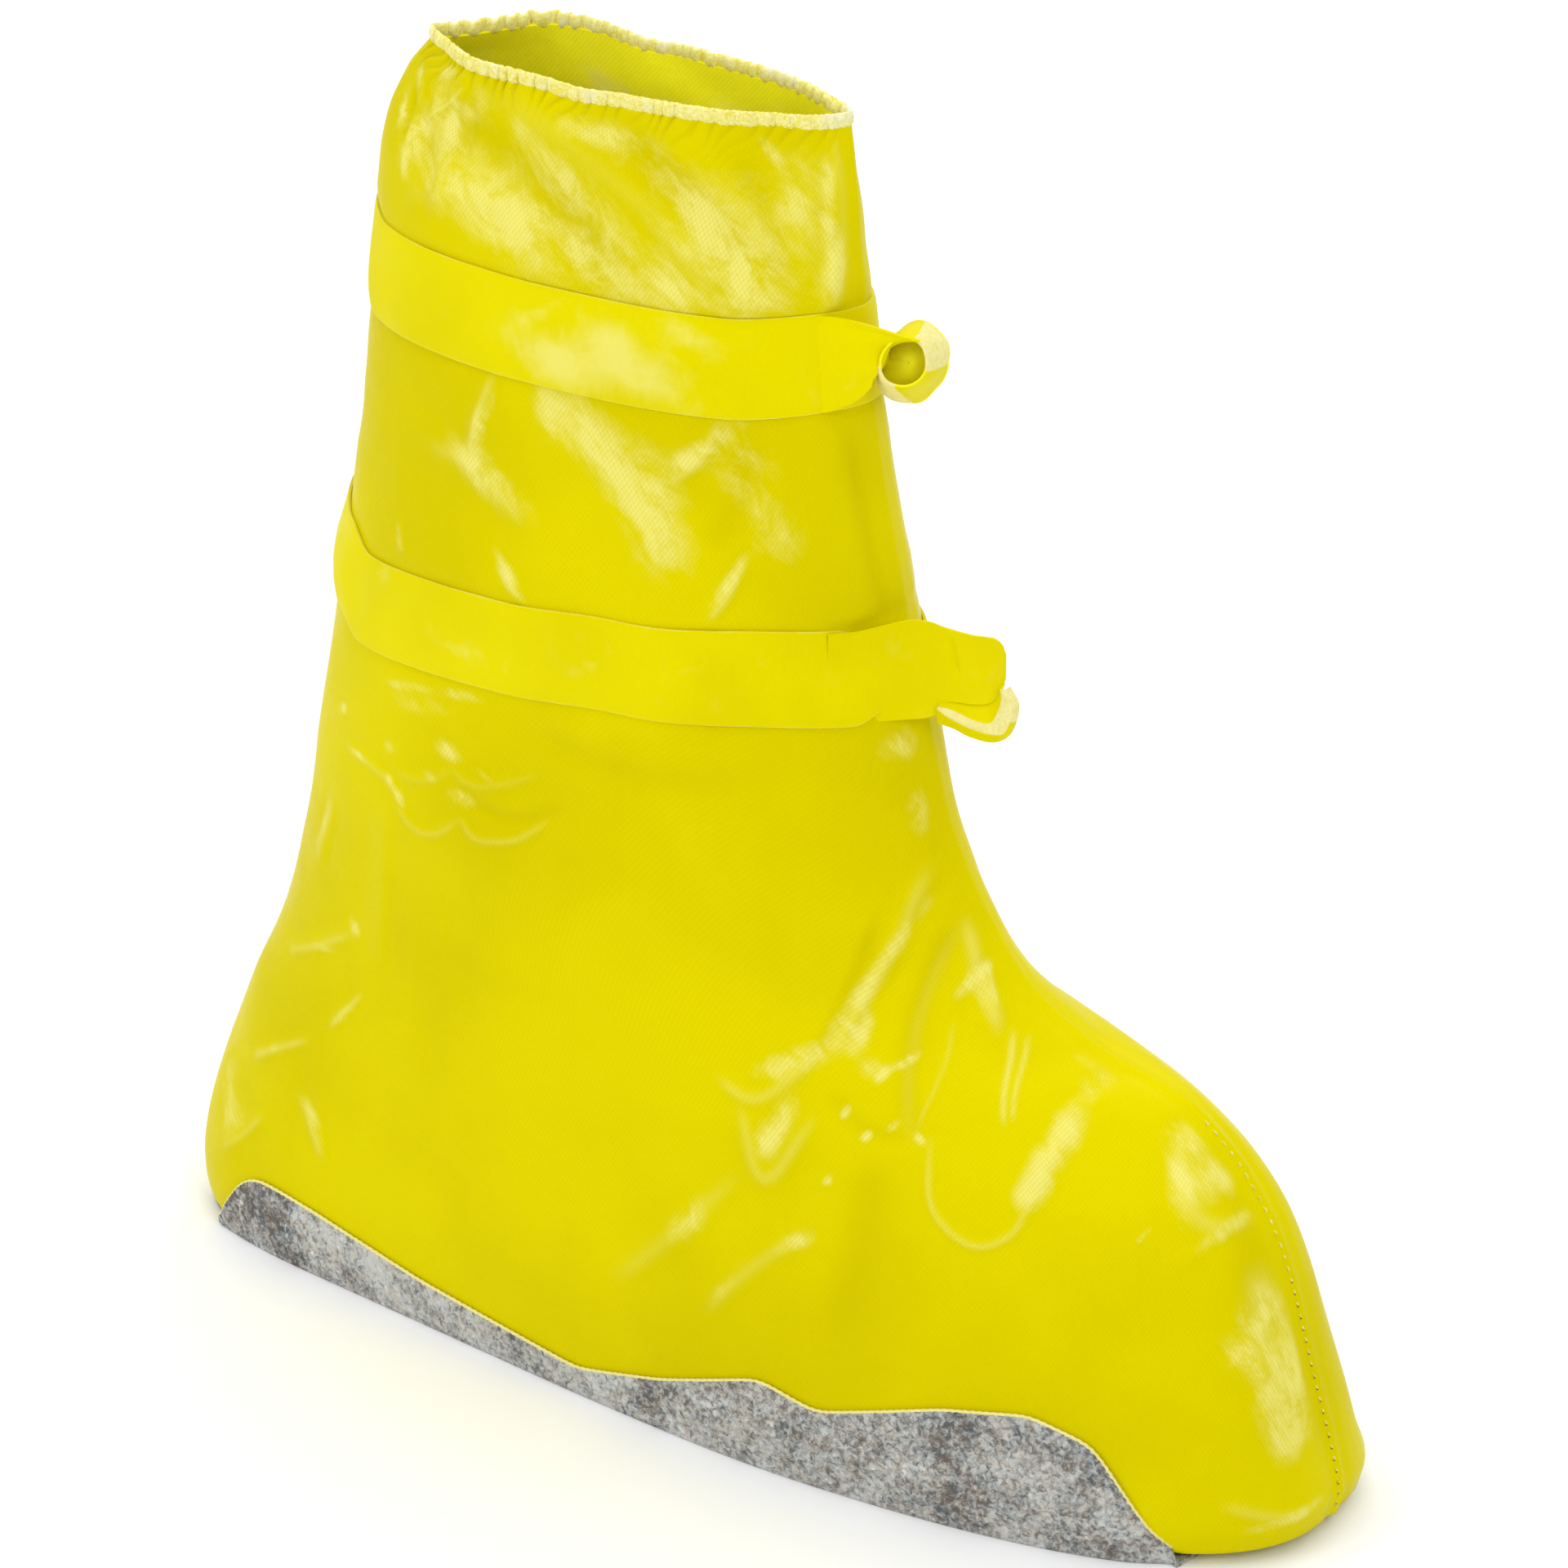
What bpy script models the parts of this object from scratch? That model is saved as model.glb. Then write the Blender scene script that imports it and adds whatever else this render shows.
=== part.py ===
"""Chemical boot cover: a hollow film upper on a soft turned-up sole, an elastic collar and two front ties.

The heel is at low X and the toe at high X while the pieces are worked out, with the floor at Z = 0.
One parent empty then moves the middle of the length to the origin.
"""
import math
from collections import namedtuple

import bmesh
import bpy
import numpy as np
from mathutils import Vector

# Driving dimensions, in metres
LENGTH = 0.400
HEIGHT = 0.397
BALL_WIDTH = 0.132
FILM = 0.0010
SOLE_THICK = 0.0012
HEM_TALL = 0.0050
HEM_THICK = 0.0020
TIE_WIDTH = 0.028
TIE_THICK = 0.0008
SEAM_HALF = 0.0025
SEAM_RISE = 0.0010
GAP = 0.0003

# Levels that follow from them
SEAT = SOLE_THICK + GAP
UPPER_TALL = HEIGHT - HEM_TALL - GAP - SEAT
HALF_WIDTH = BALL_WIDTH / 2
SOLE_FRONT = 0.955 * LENGTH
SOLE_FRONT_SWEEP = 0.010
SOLE_LIP = 0.0022
# Rows of the section table between which the sole's wall stands
SOLE_FOOT = 2
SOLE_TOP = 4

# How finely the forms are divided
RING_POINTS = 401
SKIN_LEVELS = 281
COLUMNS = 28
STEPS_PER_SECTION = 2
RIM_STEPS = 64
FRONT_STEPS = 25
CUTTER_SPARE = 0.020

# Sections of the upper from its turned-under edge to the collar. X is a share of LENGTH, Z a share of the
# upper's own height, and the half widths are shares of half the ball width. The last two columns say how
# blunt the back and front of the ring are: 2 is an ellipse, more is squarer, less is a ridge.
Section = namedtuple("Section", "back_x back_z front_x front_z heel_half ball_half back_blunt front_blunt")
SECTIONS = (
    Section(0.020, 0.000, 0.908, 0.000, 0.64, 0.82, 3.4, 2.8),
    Section(0.004, 0.002, 0.987, 0.005, 0.745, 0.965, 3.4, 2.8),
    Section(0.000, 0.010, 1.000, 0.014, 0.765, 0.995, 3.4, 2.8),
    Section(0.001, 0.032, 1.001, 0.040, 0.77, 1.00, 3.4, 2.8),
    Section(0.010, 0.091, 0.980, 0.114, 0.76, 0.97, 3.1, 2.7),
    Section(0.043, 0.196, 0.942, 0.229, 0.73, 0.86, 2.6, 2.4),
    Section(0.080, 0.278, 0.878, 0.304, 0.73, 0.76, 2.4, 1.9),
    Section(0.105, 0.368, 0.788, 0.334, 0.74, 0.70, 2.3, 1.7),
    Section(0.120, 0.445, 0.725, 0.375, 0.76, 0.68, 2.3, 1.7),
    Section(0.138, 0.532, 0.673, 0.460, 0.74, 0.68, 2.3, 1.8),
    Section(0.155, 0.627, 0.645, 0.565, 0.70, 0.68, 2.3, 1.9),
    Section(0.170, 0.721, 0.618, 0.678, 0.64, 0.64, 2.3, 2.0),
    Section(0.180, 0.814, 0.598, 0.783, 0.58, 0.58, 2.3, 2.0),
    Section(0.185, 0.891, 0.590, 0.870, 0.50, 0.49, 2.3, 2.0),
    Section(0.190, 0.950, 0.585, 0.942, 0.41, 0.40, 2.2, 2.0),
    Section(0.215, 1.000, 0.578, 1.000, 0.34, 0.33, 2.0, 2.0),
)

# Height of the sole's wavy rim, from the heel to the toe
Rim = namedtuple("Rim", "along height")
SOLE_RIM = (
    Rim(0.00, SOLE_LIP),
    Rim(0.05, 0.005),
    Rim(0.12, 0.025),
    Rim(0.17, 0.022),
    Rim(0.28, 0.015),
    Rim(0.44, 0.009),
    Rim(0.52, 0.017),
    Rim(0.61, 0.028),
    Rim(0.66, 0.025),
    Rim(0.76, 0.036),
    Rim(0.83, 0.040),
    Rim(0.88, 0.035),
    Rim(0.925, 0.010),
    Rim(0.945, SOLE_LIP),
    Rim(1.00, SOLE_LIP),
)

# The two straps from the back seam to the front: height of the middle, and how far they stand off the film
Strap = namedtuple("Strap", "along height stand_off")
UPPER_STRAP = (
    Strap(0.00, 0.331, 0.0010),
    Strap(0.08, 0.327, 0.0004),
    Strap(0.30, 0.3255, 0.0003),
    Strap(0.85, 0.3240, 0.0003),
    Strap(1.00, 0.3255, 0.0003),
)
LOWER_STRAP = (
    Strap(0.00, 0.241, 0.0035),
    Strap(0.06, 0.234, 0.0020),
    Strap(0.13, 0.228, 0.0003),
    Strap(0.40, 0.230, 0.0003),
    Strap(0.62, 0.233, 0.0003),
    Strap(1.00, 0.236, 0.0003),
)

# Front knots, measured from the strap's outer front: half sizes of each knot
UPPER_KNOT = Vector((0.0035, 0.0060, 0.0042))
LOWER_KNOT = Vector((0.0036, 0.0036, 0.0080))

# The curled loop of the upper tie: an open ring whose ends hold the knot
LOOP_RADIUS = 0.0105
LOOP_HALF = 0.0080
LOOP_OPENING = math.radians(62)
LOOP_TURN = math.radians(25)
LOOP_STEPS = 20

# Free ends of the lower tie: ahead of the strap, to the side, above the strap's middle, half width and lean
End = namedtuple("End", "ahead aside up half lean")
END_TOP = (
    End(0.0015, -0.0047, 0.0055, 0.0090, 0),
    End(0.0070, -0.0050, 0.0055, 0.0095, 2),
    End(0.0130, -0.0048, 0.0050, 0.0100, 5),
    End(0.0190, -0.0035, 0.0045, 0.0100, 9),
    End(0.0230, -0.0010, 0.0040, 0.0085, 14),
)
END_LOW = (
    End(0.0062, -0.0010, -0.0100, 0.0045, 62),
    End(0.0100, -0.0030, -0.0114, 0.0060, 54),
    End(0.0140, -0.0045, -0.0122, 0.0075, 42),
    End(0.0200, -0.0045, -0.0118, 0.0080, 34),
    End(0.0260, -0.0030, -0.0108, 0.0070, 28),
)

# Colour, roughness of each material
Finish = namedtuple("Finish", "colour roughness")
FINISHES = {
    "yellow_film": Finish((0.78, 0.69, 0.005), 0.38),
    "yellow_strap": Finish((0.84, 0.76, 0.01), 0.55),
    "grey_nonwoven": Finish((0.36, 0.35, 0.33), 0.90),
    "cream_serging": Finish((0.86, 0.80, 0.36), 0.80),
}


def eased(t):
    t = np.clip(t, 0.0, 1.0)
    return t * t * (3.0 - 2.0 * t)


def read_table(rows, column, along):
    """Value of one column at a share of the way along, eased from row to row."""
    for low, high in zip(rows, rows[1:]):
        if along <= high.along:
            t = eased((along - low.along) / (high.along - low.along))
            return float((1 - t) * getattr(low, column) + t * getattr(high, column))
    return getattr(rows[-1], column)


def section_at(place):
    """Section at a fractional row of the table, on a smooth curve through the rows."""
    last = len(SECTIONS) - 1
    row = min(int(place), last - 1)
    t = place - row
    here = np.array(SECTIONS[row])
    there = np.array(SECTIONS[row + 1])
    before = np.array(SECTIONS[row - 1]) if row > 0 else 2 * here - there
    after = np.array(SECTIONS[row + 2]) if row + 2 <= last else 2 * there - here
    bend = 2 * before - 5 * here + 4 * there - after
    twist = 3 * here - before - 3 * there + after
    return Section(*(here + 0.5 * ((there - before) * t + bend * t * t + twist * t ** 3)))


def half_ring(section):
    """Closely spaced points of one side of a ring, from the back seam to the front seam."""
    angle = math.pi * eased(np.linspace(0.0, 1.0, RING_POINTS))
    blunt = section.back_blunt + (section.front_blunt - section.back_blunt) * eased((1 - np.cos(angle)) / 2)
    reach = -np.sign(np.cos(angle)) * np.abs(np.cos(angle)) ** (2 / blunt)
    along = (reach + 1) / 2
    widen = eased((along - 0.15) / 0.5)
    half = section.heel_half + (section.ball_half - section.heel_half) * widen
    x = LENGTH * (section.back_x + (section.front_x - section.back_x) * along)
    y = -HALF_WIDTH * half * np.abs(np.sin(angle)) ** (2 / blunt)
    z = SEAT + UPPER_TALL * (section.back_z + (section.front_z - section.back_z) * along)
    return np.stack([x, y, z], axis=1), along


def ring(place, columns):
    """One closed ring of the upper, with its outward directions and the share along of each column."""
    points, along = half_ring(section_at(place))
    steps = np.linalg.norm(np.diff(points[:, :2], axis=0), axis=1)
    travel = np.concatenate([[0.0], np.cumsum(steps)])
    inner = np.linspace(SEAM_HALF, travel[-1] - SEAM_HALF, columns - 1)
    stops = np.concatenate([[0.0], inner, [travel[-1]]])
    side = np.stack([np.interp(stops, travel, points[:, axis]) for axis in range(3)], axis=1)
    share = np.interp(stops, travel, along)
    whole = np.concatenate([side, side[-2:0:-1] * (1, -1, 1)])
    share = np.concatenate([share, share[-2:0:-1]])
    forward = np.roll(whole, -1, axis=0) - np.roll(whole, 1, axis=0)
    outward = np.stack([forward[:, 1], -forward[:, 0], np.zeros(len(whole))], axis=1)
    outward /= np.linalg.norm(outward, axis=1)[:, None]
    whole[0] += SEAM_RISE * outward[0]
    whole[columns] += SEAM_RISE * outward[columns]
    return whole, outward, share


class Skin:
    """The outer surface of the upper as columns that can be read at any height."""

    def __init__(self, columns):
        places = np.linspace(0.0, len(SECTIONS) - 1, SKIN_LEVELS)
        rings = [ring(place, columns) for place in places]
        self.columns = columns
        self.points = np.array([level[0] for level in rings])
        self.outward = np.array([level[1] for level in rings])
        self.share = np.array([level[2] for level in rings])

    def count(self):
        return self.points.shape[1]

    def along(self, column, height):
        return np.interp(height, self.points[:, column, 2], self.share[:, column])

    def at(self, column, height, offset):
        """Point of a column at a height, moved outward level with the floor."""
        levels = self.points[:, column, 2]
        place = [np.interp(height, levels, self.points[:, column, axis]) for axis in range(2)]
        way = [np.interp(height, levels, self.outward[:, column, axis]) for axis in range(2)]
        return Vector((place[0] + offset * way[0], place[1] + offset * way[1], height))


def make_material(name):
    finish = FINISHES[name]
    material = bpy.data.materials.new(name)
    material.use_nodes = True
    shader = material.node_tree.nodes["Principled BSDF"]
    shader.inputs["Base Color"].default_value = (*finish.colour, 1.0)
    shader.inputs["Roughness"].default_value = finish.roughness
    shader.inputs["Metallic"].default_value = 0.0
    material.diffuse_color = (*finish.colour, 1.0)
    return material


def bridge(mesh, low, high, closed):
    """Faces between two rows of vertices."""
    count = len(low) if closed else len(low) - 1
    for k in range(count):
        after = (k + 1) % len(low)
        mesh.faces.new((low[k], low[after], high[after], high[k]))


def close_with_plate(mesh, loop, columns):
    """Flat plate across a ring, in strips from each column to its mirror image."""
    def mirrored(column):
        return loop[(2 * columns - column) % (2 * columns)]
    mesh.faces.new((loop[0], loop[1], mirrored(1)))
    for k in range(1, columns - 1):
        mesh.faces.new((loop[k], loop[k + 1], mirrored(k + 1), mirrored(k)))
    mesh.faces.new((loop[columns - 1], loop[columns], mirrored(columns - 1)))


def add_object(parts, name, mesh, material):
    data = bpy.data.meshes.new(name)
    mesh.to_mesh(data)
    mesh.free()
    data.materials.append(material)
    data.shade_smooth()
    data.set_sharp_from_angle(angle=math.radians(40))
    part = bpy.data.objects.new(name, data)
    parts.objects.link(part)
    return part


def lofted_sheet(parts, name, rows, material, thickness, offset, closed):
    """A sheet through rows of points, given its thickness by Solidify."""
    mesh = bmesh.new()
    loops = [[mesh.verts.new(point) for point in row] for row in rows]
    for low, high in zip(loops, loops[1:]):
        bridge(mesh, low, high, closed)
    part = add_object(parts, name, mesh, material)
    shell = part.modifiers.new("thickness", "SOLIDIFY")
    shell.thickness = thickness
    shell.offset = offset
    shell.use_even_offset = True
    return part


def add_upper(parts, material):
    count = STEPS_PER_SECTION * (len(SECTIONS) - 1) + 1
    places = np.linspace(0.0, len(SECTIONS) - 1, count)
    rows = [ring(place, COLUMNS)[0] for place in places]
    return lofted_sheet(parts, "upper", rows, material, FILM, -1.0, True)


def add_cutter(cutters, name, outline, sweep):
    """Closed block: a flat outline pushed along a direction, used only to cut."""
    mesh = bmesh.new()
    face = mesh.faces.new([mesh.verts.new(point) for point in outline])
    swept = bmesh.ops.extrude_face_region(mesh, geom=[face])
    moved = [item for item in swept["geom"] if isinstance(item, bmesh.types.BMVert)]
    bmesh.ops.translate(mesh, vec=sweep, verts=moved)
    bmesh.ops.recalc_face_normals(mesh, faces=mesh.faces)
    data = bpy.data.meshes.new(name)
    mesh.to_mesh(data)
    mesh.free()
    cutter = bpy.data.objects.new(name, data)
    cutter.hide_render = True
    cutter.display_type = "WIRE"
    cutters.objects.link(cutter)
    return cutter


def add_rim_cutter(cutters):
    """Block above the sole's wavy rim, right across the width."""
    back, front = -CUTTER_SPARE, LENGTH + CUTTER_SPARE
    rim = [(x, read_table(SOLE_RIM, "height", x / LENGTH)) for x in np.linspace(back, front, RIM_STEPS)]
    profile = rim + [(front, HEIGHT / 2), (back, HEIGHT / 2)]
    outline = [(x, -BALL_WIDTH, z) for x, z in profile]
    return add_cutter(cutters, "sole_rim_cutter", outline, (0.0, 2 * BALL_WIDTH, 0.0))


def add_front_cutter(cutters):
    """Block ahead of the sole's front edge, which is a shallow arc under the toe."""
    front = LENGTH + CUTTER_SPARE
    arc = [(SOLE_FRONT - SOLE_FRONT_SWEEP * (y / HALF_WIDTH) ** 2, y)
           for y in np.linspace(-BALL_WIDTH, BALL_WIDTH, FRONT_STEPS)]
    outline = [(x, y, -CUTTER_SPARE) for x, y in arc + [(front, BALL_WIDTH), (front, -BALL_WIDTH)]]
    return add_cutter(cutters, "sole_front_cutter", outline, (0.0, 0.0, CUTTER_SPARE + SOLE_LIP))


def add_sole(parts, rim_cutter, front_cutter, material):
    """Tray whose inside follows the upper's outside, flat on the floor, cut along its wavy rim."""
    rings = [ring(place, COLUMNS)[:2] for place in np.arange(SOLE_FOOT, SOLE_TOP + 0.1, 1 / STEPS_PER_SECTION)]

    def tray_rows(offset, foot):
        rows = [points + offset * outward for points, outward in rings]
        floor = rows[0].copy()
        floor[:, 2] = foot
        return [floor] + rows

    inside = tray_rows(GAP, SOLE_THICK)
    outside = tray_rows(GAP + SOLE_THICK, 0.0)
    mesh = bmesh.new()
    loops = [[mesh.verts.new(point) for point in row] for row in inside + outside[::-1]]
    for low, high in zip(loops, loops[1:]):
        bridge(mesh, low, high, True)
    close_with_plate(mesh, loops[0], COLUMNS)
    close_with_plate(mesh, loops[-1], COLUMNS)
    bmesh.ops.recalc_face_normals(mesh, faces=mesh.faces)
    sole = add_object(parts, "sole", mesh, material)
    for cutter in (rim_cutter, front_cutter):
        cut = sole.modifiers.new(cutter.name, "BOOLEAN")
        cut.operation = "DIFFERENCE"
        cut.object = cutter
    return sole


def add_hem(parts, material):
    """Elastic edge standing on the upper's top edge."""
    top, outward, _ = ring(len(SECTIONS) - 1, COLUMNS)
    middle = top - outward * FILM / 2
    foot = HEIGHT - HEM_TALL
    rows = [[Vector((x, y, height)) for x, y, _ in middle] for height in (foot, HEIGHT)]
    return lofted_sheet(parts, "collar_hem", rows, material, HEM_THICK, 0.0, True)


def add_strap(parts, skin, name, table, material):
    """Flat strap lying on the shaft all the way round."""
    def edge(column, across):
        along = float(skin.along(column, table[-1].height))
        height = read_table(table, "height", along) + across * TIE_WIDTH / 2
        return skin.at(column, height, read_table(table, "stand_off", along))
    rows = [[edge(column, across) for column in range(skin.count())] for across in (-1, 0, 1)]
    return lofted_sheet(parts, name, rows, material, TIE_THICK, 1.0, True)


def strap_front(skin, table):
    """Foremost point of a strap's outer face, half way up it."""
    return skin.at(skin.columns, table[-1].height, table[-1].stand_off + TIE_THICK)


def strap_lean(skin, table):
    """Angle by which the front of the shaft leans back under a strap."""
    low, high = (skin.at(skin.columns, table[-1].height + side * TIE_WIDTH / 2, 0.0) for side in (-1, 1))
    return math.atan2(low.x - high.x, high.z - low.z)


def add_knot(parts, name, skin, table, half_sizes, material):
    """Small pulled-tight knot, lying against the front of its strap."""
    lean = strap_lean(skin, table)
    mesh = bmesh.new()
    bmesh.ops.create_uvsphere(mesh, u_segments=16, v_segments=10, radius=1.0)
    bmesh.ops.scale(mesh, vec=half_sizes, verts=mesh.verts)
    part = add_object(parts, name, mesh, material)
    part.location = strap_front(skin, table) + Vector(((GAP + half_sizes.x) / math.cos(lean), 0.0, 0.0))
    part.rotation_euler.y = -lean
    return part


def add_loop(parts, front, material):
    """Curled ribbon: an open ring round a level axis, open towards the knot."""
    axis = Vector((math.sin(LOOP_TURN), -math.cos(LOOP_TURN), 0.0))
    ahead = Vector((math.cos(LOOP_TURN), math.sin(LOOP_TURN), 0.0))
    centre = front + Vector((2 * GAP + UPPER_KNOT.x + LOOP_RADIUS * math.cos(LOOP_OPENING / 2), 0.0, 0.0))
    sweep = np.linspace(LOOP_OPENING / 2 - math.pi, math.pi - LOOP_OPENING / 2, LOOP_STEPS + 1)
    path = [centre + LOOP_RADIUS * (math.cos(a) * ahead + math.sin(a) * Vector((0, 0, 1))) for a in sweep]
    rows = [[point + side * LOOP_HALF * axis for point in path] for side in (-1, 0, 1)]
    return lofted_sheet(parts, "upper_tie_loop", rows, material, TIE_THICK, 0.0, False)


def add_end(parts, name, front, table, material):
    """Free ribbon end through the rows of its table."""
    rows = []
    for side in (-1, 0, 1):
        row = []
        for station in table:
            lean = math.radians(station.lean)
            across = Vector((0.0, math.sin(lean), math.cos(lean)))
            middle = front + Vector((station.ahead, station.aside, station.up))
            row.append(middle + side * station.half * across)
        rows.append(row)
    return lofted_sheet(parts, name, rows, material, TIE_THICK, 0.0, False)


def build():
    for thing in list(bpy.data.objects):
        bpy.data.objects.remove(thing, do_unlink=True)
    parts = bpy.data.collections.new("chemical_boot_cover")
    cutters = bpy.data.collections.new("chemical_boot_cover_cutters")
    for collection in (parts, cutters):
        bpy.context.scene.collection.children.link(collection)
    rim_cutter = add_rim_cutter(cutters)
    front_cutter = add_front_cutter(cutters)
    film, strap, grey, cream = (make_material(name) for name in FINISHES)

    band_skin = Skin(COLUMNS)
    upper_front = strap_front(band_skin, UPPER_STRAP)
    lower_front = strap_front(band_skin, LOWER_STRAP)
    pieces = [
        add_upper(parts, film),
        add_sole(parts, rim_cutter, front_cutter, grey),
        add_hem(parts, cream),
        add_strap(parts, band_skin, "upper_tie", UPPER_STRAP, strap),
        add_knot(parts, "upper_tie_knot", band_skin, UPPER_STRAP, UPPER_KNOT, strap),
        add_loop(parts, upper_front, strap),
        add_strap(parts, band_skin, "lower_tie", LOWER_STRAP, strap),
        add_knot(parts, "lower_tie_knot", band_skin, LOWER_STRAP, LOWER_KNOT, strap),
        add_end(parts, "lower_tie_end_top", lower_front, END_TOP, strap),
        add_end(parts, "lower_tie_end_low", lower_front, END_LOW, strap),
    ]
    skin_x = band_skin.points[..., 0]
    rearmost = skin_x.min() - GAP - SOLE_THICK
    middle = bpy.data.objects.new("boot_cover_origin", None)
    middle.location.x = -(rearmost + skin_x.max()) / 2
    parts.objects.link(middle)
    for piece in pieces + [rim_cutter, front_cutter]:
        piece.parent = middle


build()
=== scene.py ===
"""Looks of the chemical boot cover: film, seams, sole, collar and two ties.

Lengths are in metres, apart from tables that say millimetres. The back of the heel is at X = 0 while the
forms are worked out, and each piece is then moved to where the frame has the heel.
"""
import math
from collections import namedtuple

import bpy
import numpy as np
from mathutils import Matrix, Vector, noise


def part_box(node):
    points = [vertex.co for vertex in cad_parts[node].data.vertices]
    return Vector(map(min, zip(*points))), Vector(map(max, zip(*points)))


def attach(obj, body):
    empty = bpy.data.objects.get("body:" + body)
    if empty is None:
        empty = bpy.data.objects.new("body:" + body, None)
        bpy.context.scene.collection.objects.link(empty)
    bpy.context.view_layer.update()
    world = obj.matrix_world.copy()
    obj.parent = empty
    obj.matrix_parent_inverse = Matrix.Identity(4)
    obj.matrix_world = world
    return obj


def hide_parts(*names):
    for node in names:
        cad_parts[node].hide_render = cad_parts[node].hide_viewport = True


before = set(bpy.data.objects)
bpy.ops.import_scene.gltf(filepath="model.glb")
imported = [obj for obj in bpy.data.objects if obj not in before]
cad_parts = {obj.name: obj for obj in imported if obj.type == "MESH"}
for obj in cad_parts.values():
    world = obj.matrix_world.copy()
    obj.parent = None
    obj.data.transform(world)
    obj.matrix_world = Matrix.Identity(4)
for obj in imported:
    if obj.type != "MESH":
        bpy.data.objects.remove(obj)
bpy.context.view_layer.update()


def rows_of(kind, rows):
    """Rows of plain numbers as rows with named columns."""
    return tuple(kind(*row) for row in rows)


# Driving dimensions, as in the solids
LENGTH = 0.400
HEIGHT = 0.397
BALL_WIDTH = 0.132
FILM = 0.0010
SOLE_THICK = 0.0012
HEM_TALL = 0.0050
TIE_WIDTH = 0.028
TIE_THICK = 0.0008
GAP = 0.0003
SEAT = SOLE_THICK + GAP
UPPER_TALL = HEIGHT - HEM_TALL - GAP - SEAT
COLLAR = SEAT + UPPER_TALL
HALF_WIDTH = BALL_WIDTH / 2
SOLE_FRONT = 0.946 * LENGTH
SOLE_FRONT_SWEEP = 0.010
SOLE_LIP = 0.0022

# Rows of the section table from which the sole's walls rise and below which they end, the two sides by the
# sign of Y, and a millimetre
SOLE_FOOT, SOLE_TOP = 2, 5
NEAR, FAR = -1, 1
MM = 0.001

# Seams, which start above the sole and grow fainter up the shaft, and the columns of film beside them
SEAM_HALF = 0.0025
SEAM_RISE = 0.0010
SEAM_FOOT = (SOLE_LIP, SOLE_LIP + 0.004)
SHAFT_SEAM = 0.25
SHAFT_SEAM_OVER = (0.098, 0.148)
SEAM_STOPS = (0.0, 0.0008, 0.0016, 0.0024, 0.0034, 0.0046)
SEAM_VALLEY = 0.0005
SEAM_VALLEY_AT = 0.0044
SEAM_VALLEY_WIDE = 0.0016

# Stitches beside the toe seam, bowed and thinner to their ends
STITCH_COLUMN = 2
STITCH_PITCH = 0.0037
STITCH_LOW = 0.006
STITCH_HIGH = 0.118
STITCH_LONG = 0.0021
STITCH_RADIUS = 0.00034
STITCH_OUT = 0.7
STITCH_BOW = 1.1
STITCH_BLUNT = 1.05
STITCH_POINTS, STITCH_SIDES = 5, 6

# How finely the forms are divided
RING_POINTS = 401
INSIDE_SHARE = 4
STRAP_COLUMNS = 180
STRAP_ROWS = 12
SKIN_LEVELS = 241
SOLE_COLUMNS = 300
SOLE_ARC_STEPS = 40
SOLE_LEVELS = 10
FOLD_STEPS = 6
SHARP_ANGLE = math.radians(55)

# Film panels: the side, the rows of the section table between which each one lies, and its columns and rows
Panel = namedtuple("Panel", "name side low high columns rows")
PANEL_JOIN, PANEL_TOP = 10.05, 15.0
PANELS = (
    Panel("near_foot_panel", NEAR, 0.0, PANEL_JOIN, 340, 256),
    Panel("near_shaft_panel", NEAR, PANEL_JOIN, PANEL_TOP, 340, 200),
    Panel("far_foot_panel", FAR, 0.0, PANEL_JOIN, 220, 256),
    Panel("far_shaft_panel", FAR, PANEL_JOIN, PANEL_TOP, 220, 200),
)

# Sections of the upper from its turned-under edge to the collar. X is a share of LENGTH, Z a share of the
# upper's own height, and the half widths are shares of half the ball width. The last two columns say how
# blunt the back and front of the ring are: 2 is an ellipse, more is squarer, less is a ridge. A ring goes
# from the heel's half width to the ball's over one stretch of its length.
Section = namedtuple("Section", "back_x back_z front_x front_z heel_half ball_half back_blunt front_blunt")
SECTIONS = (
    Section(0.020, 0.000, 0.908, 0.000, 0.64, 0.82, 3.4, 2.8),
    Section(0.004, 0.002, 0.987, 0.005, 0.745, 0.965, 3.4, 2.8),
    Section(0.000, 0.010, 1.000, 0.014, 0.765, 0.995, 3.4, 2.8),
    Section(0.001, 0.032, 1.001, 0.040, 0.77, 1.00, 3.4, 2.8),
    Section(0.010, 0.091, 0.980, 0.114, 0.76, 0.97, 3.1, 2.7),
    Section(0.043, 0.196, 0.942, 0.229, 0.73, 0.86, 2.6, 2.4),
    Section(0.080, 0.278, 0.878, 0.304, 0.73, 0.76, 2.4, 1.9),
    Section(0.105, 0.368, 0.788, 0.334, 0.74, 0.70, 2.3, 1.7),
    Section(0.120, 0.445, 0.725, 0.375, 0.76, 0.68, 2.3, 1.7),
    Section(0.138, 0.532, 0.673, 0.460, 0.74, 0.68, 2.3, 1.8),
    Section(0.155, 0.627, 0.645, 0.565, 0.70, 0.68, 2.3, 1.9),
    Section(0.170, 0.721, 0.618, 0.678, 0.64, 0.64, 2.3, 2.0),
    Section(0.180, 0.814, 0.598, 0.783, 0.58, 0.58, 2.3, 2.0),
    Section(0.185, 0.891, 0.590, 0.870, 0.50, 0.49, 2.3, 2.0),
    Section(0.190, 0.950, 0.585, 0.942, 0.41, 0.40, 2.2, 2.0),
    Section(0.215, 1.000, 0.578, 1.000, 0.34, 0.33, 2.0, 2.0),
)
WIDENS_OVER = (0.15, 0.65)

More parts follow.
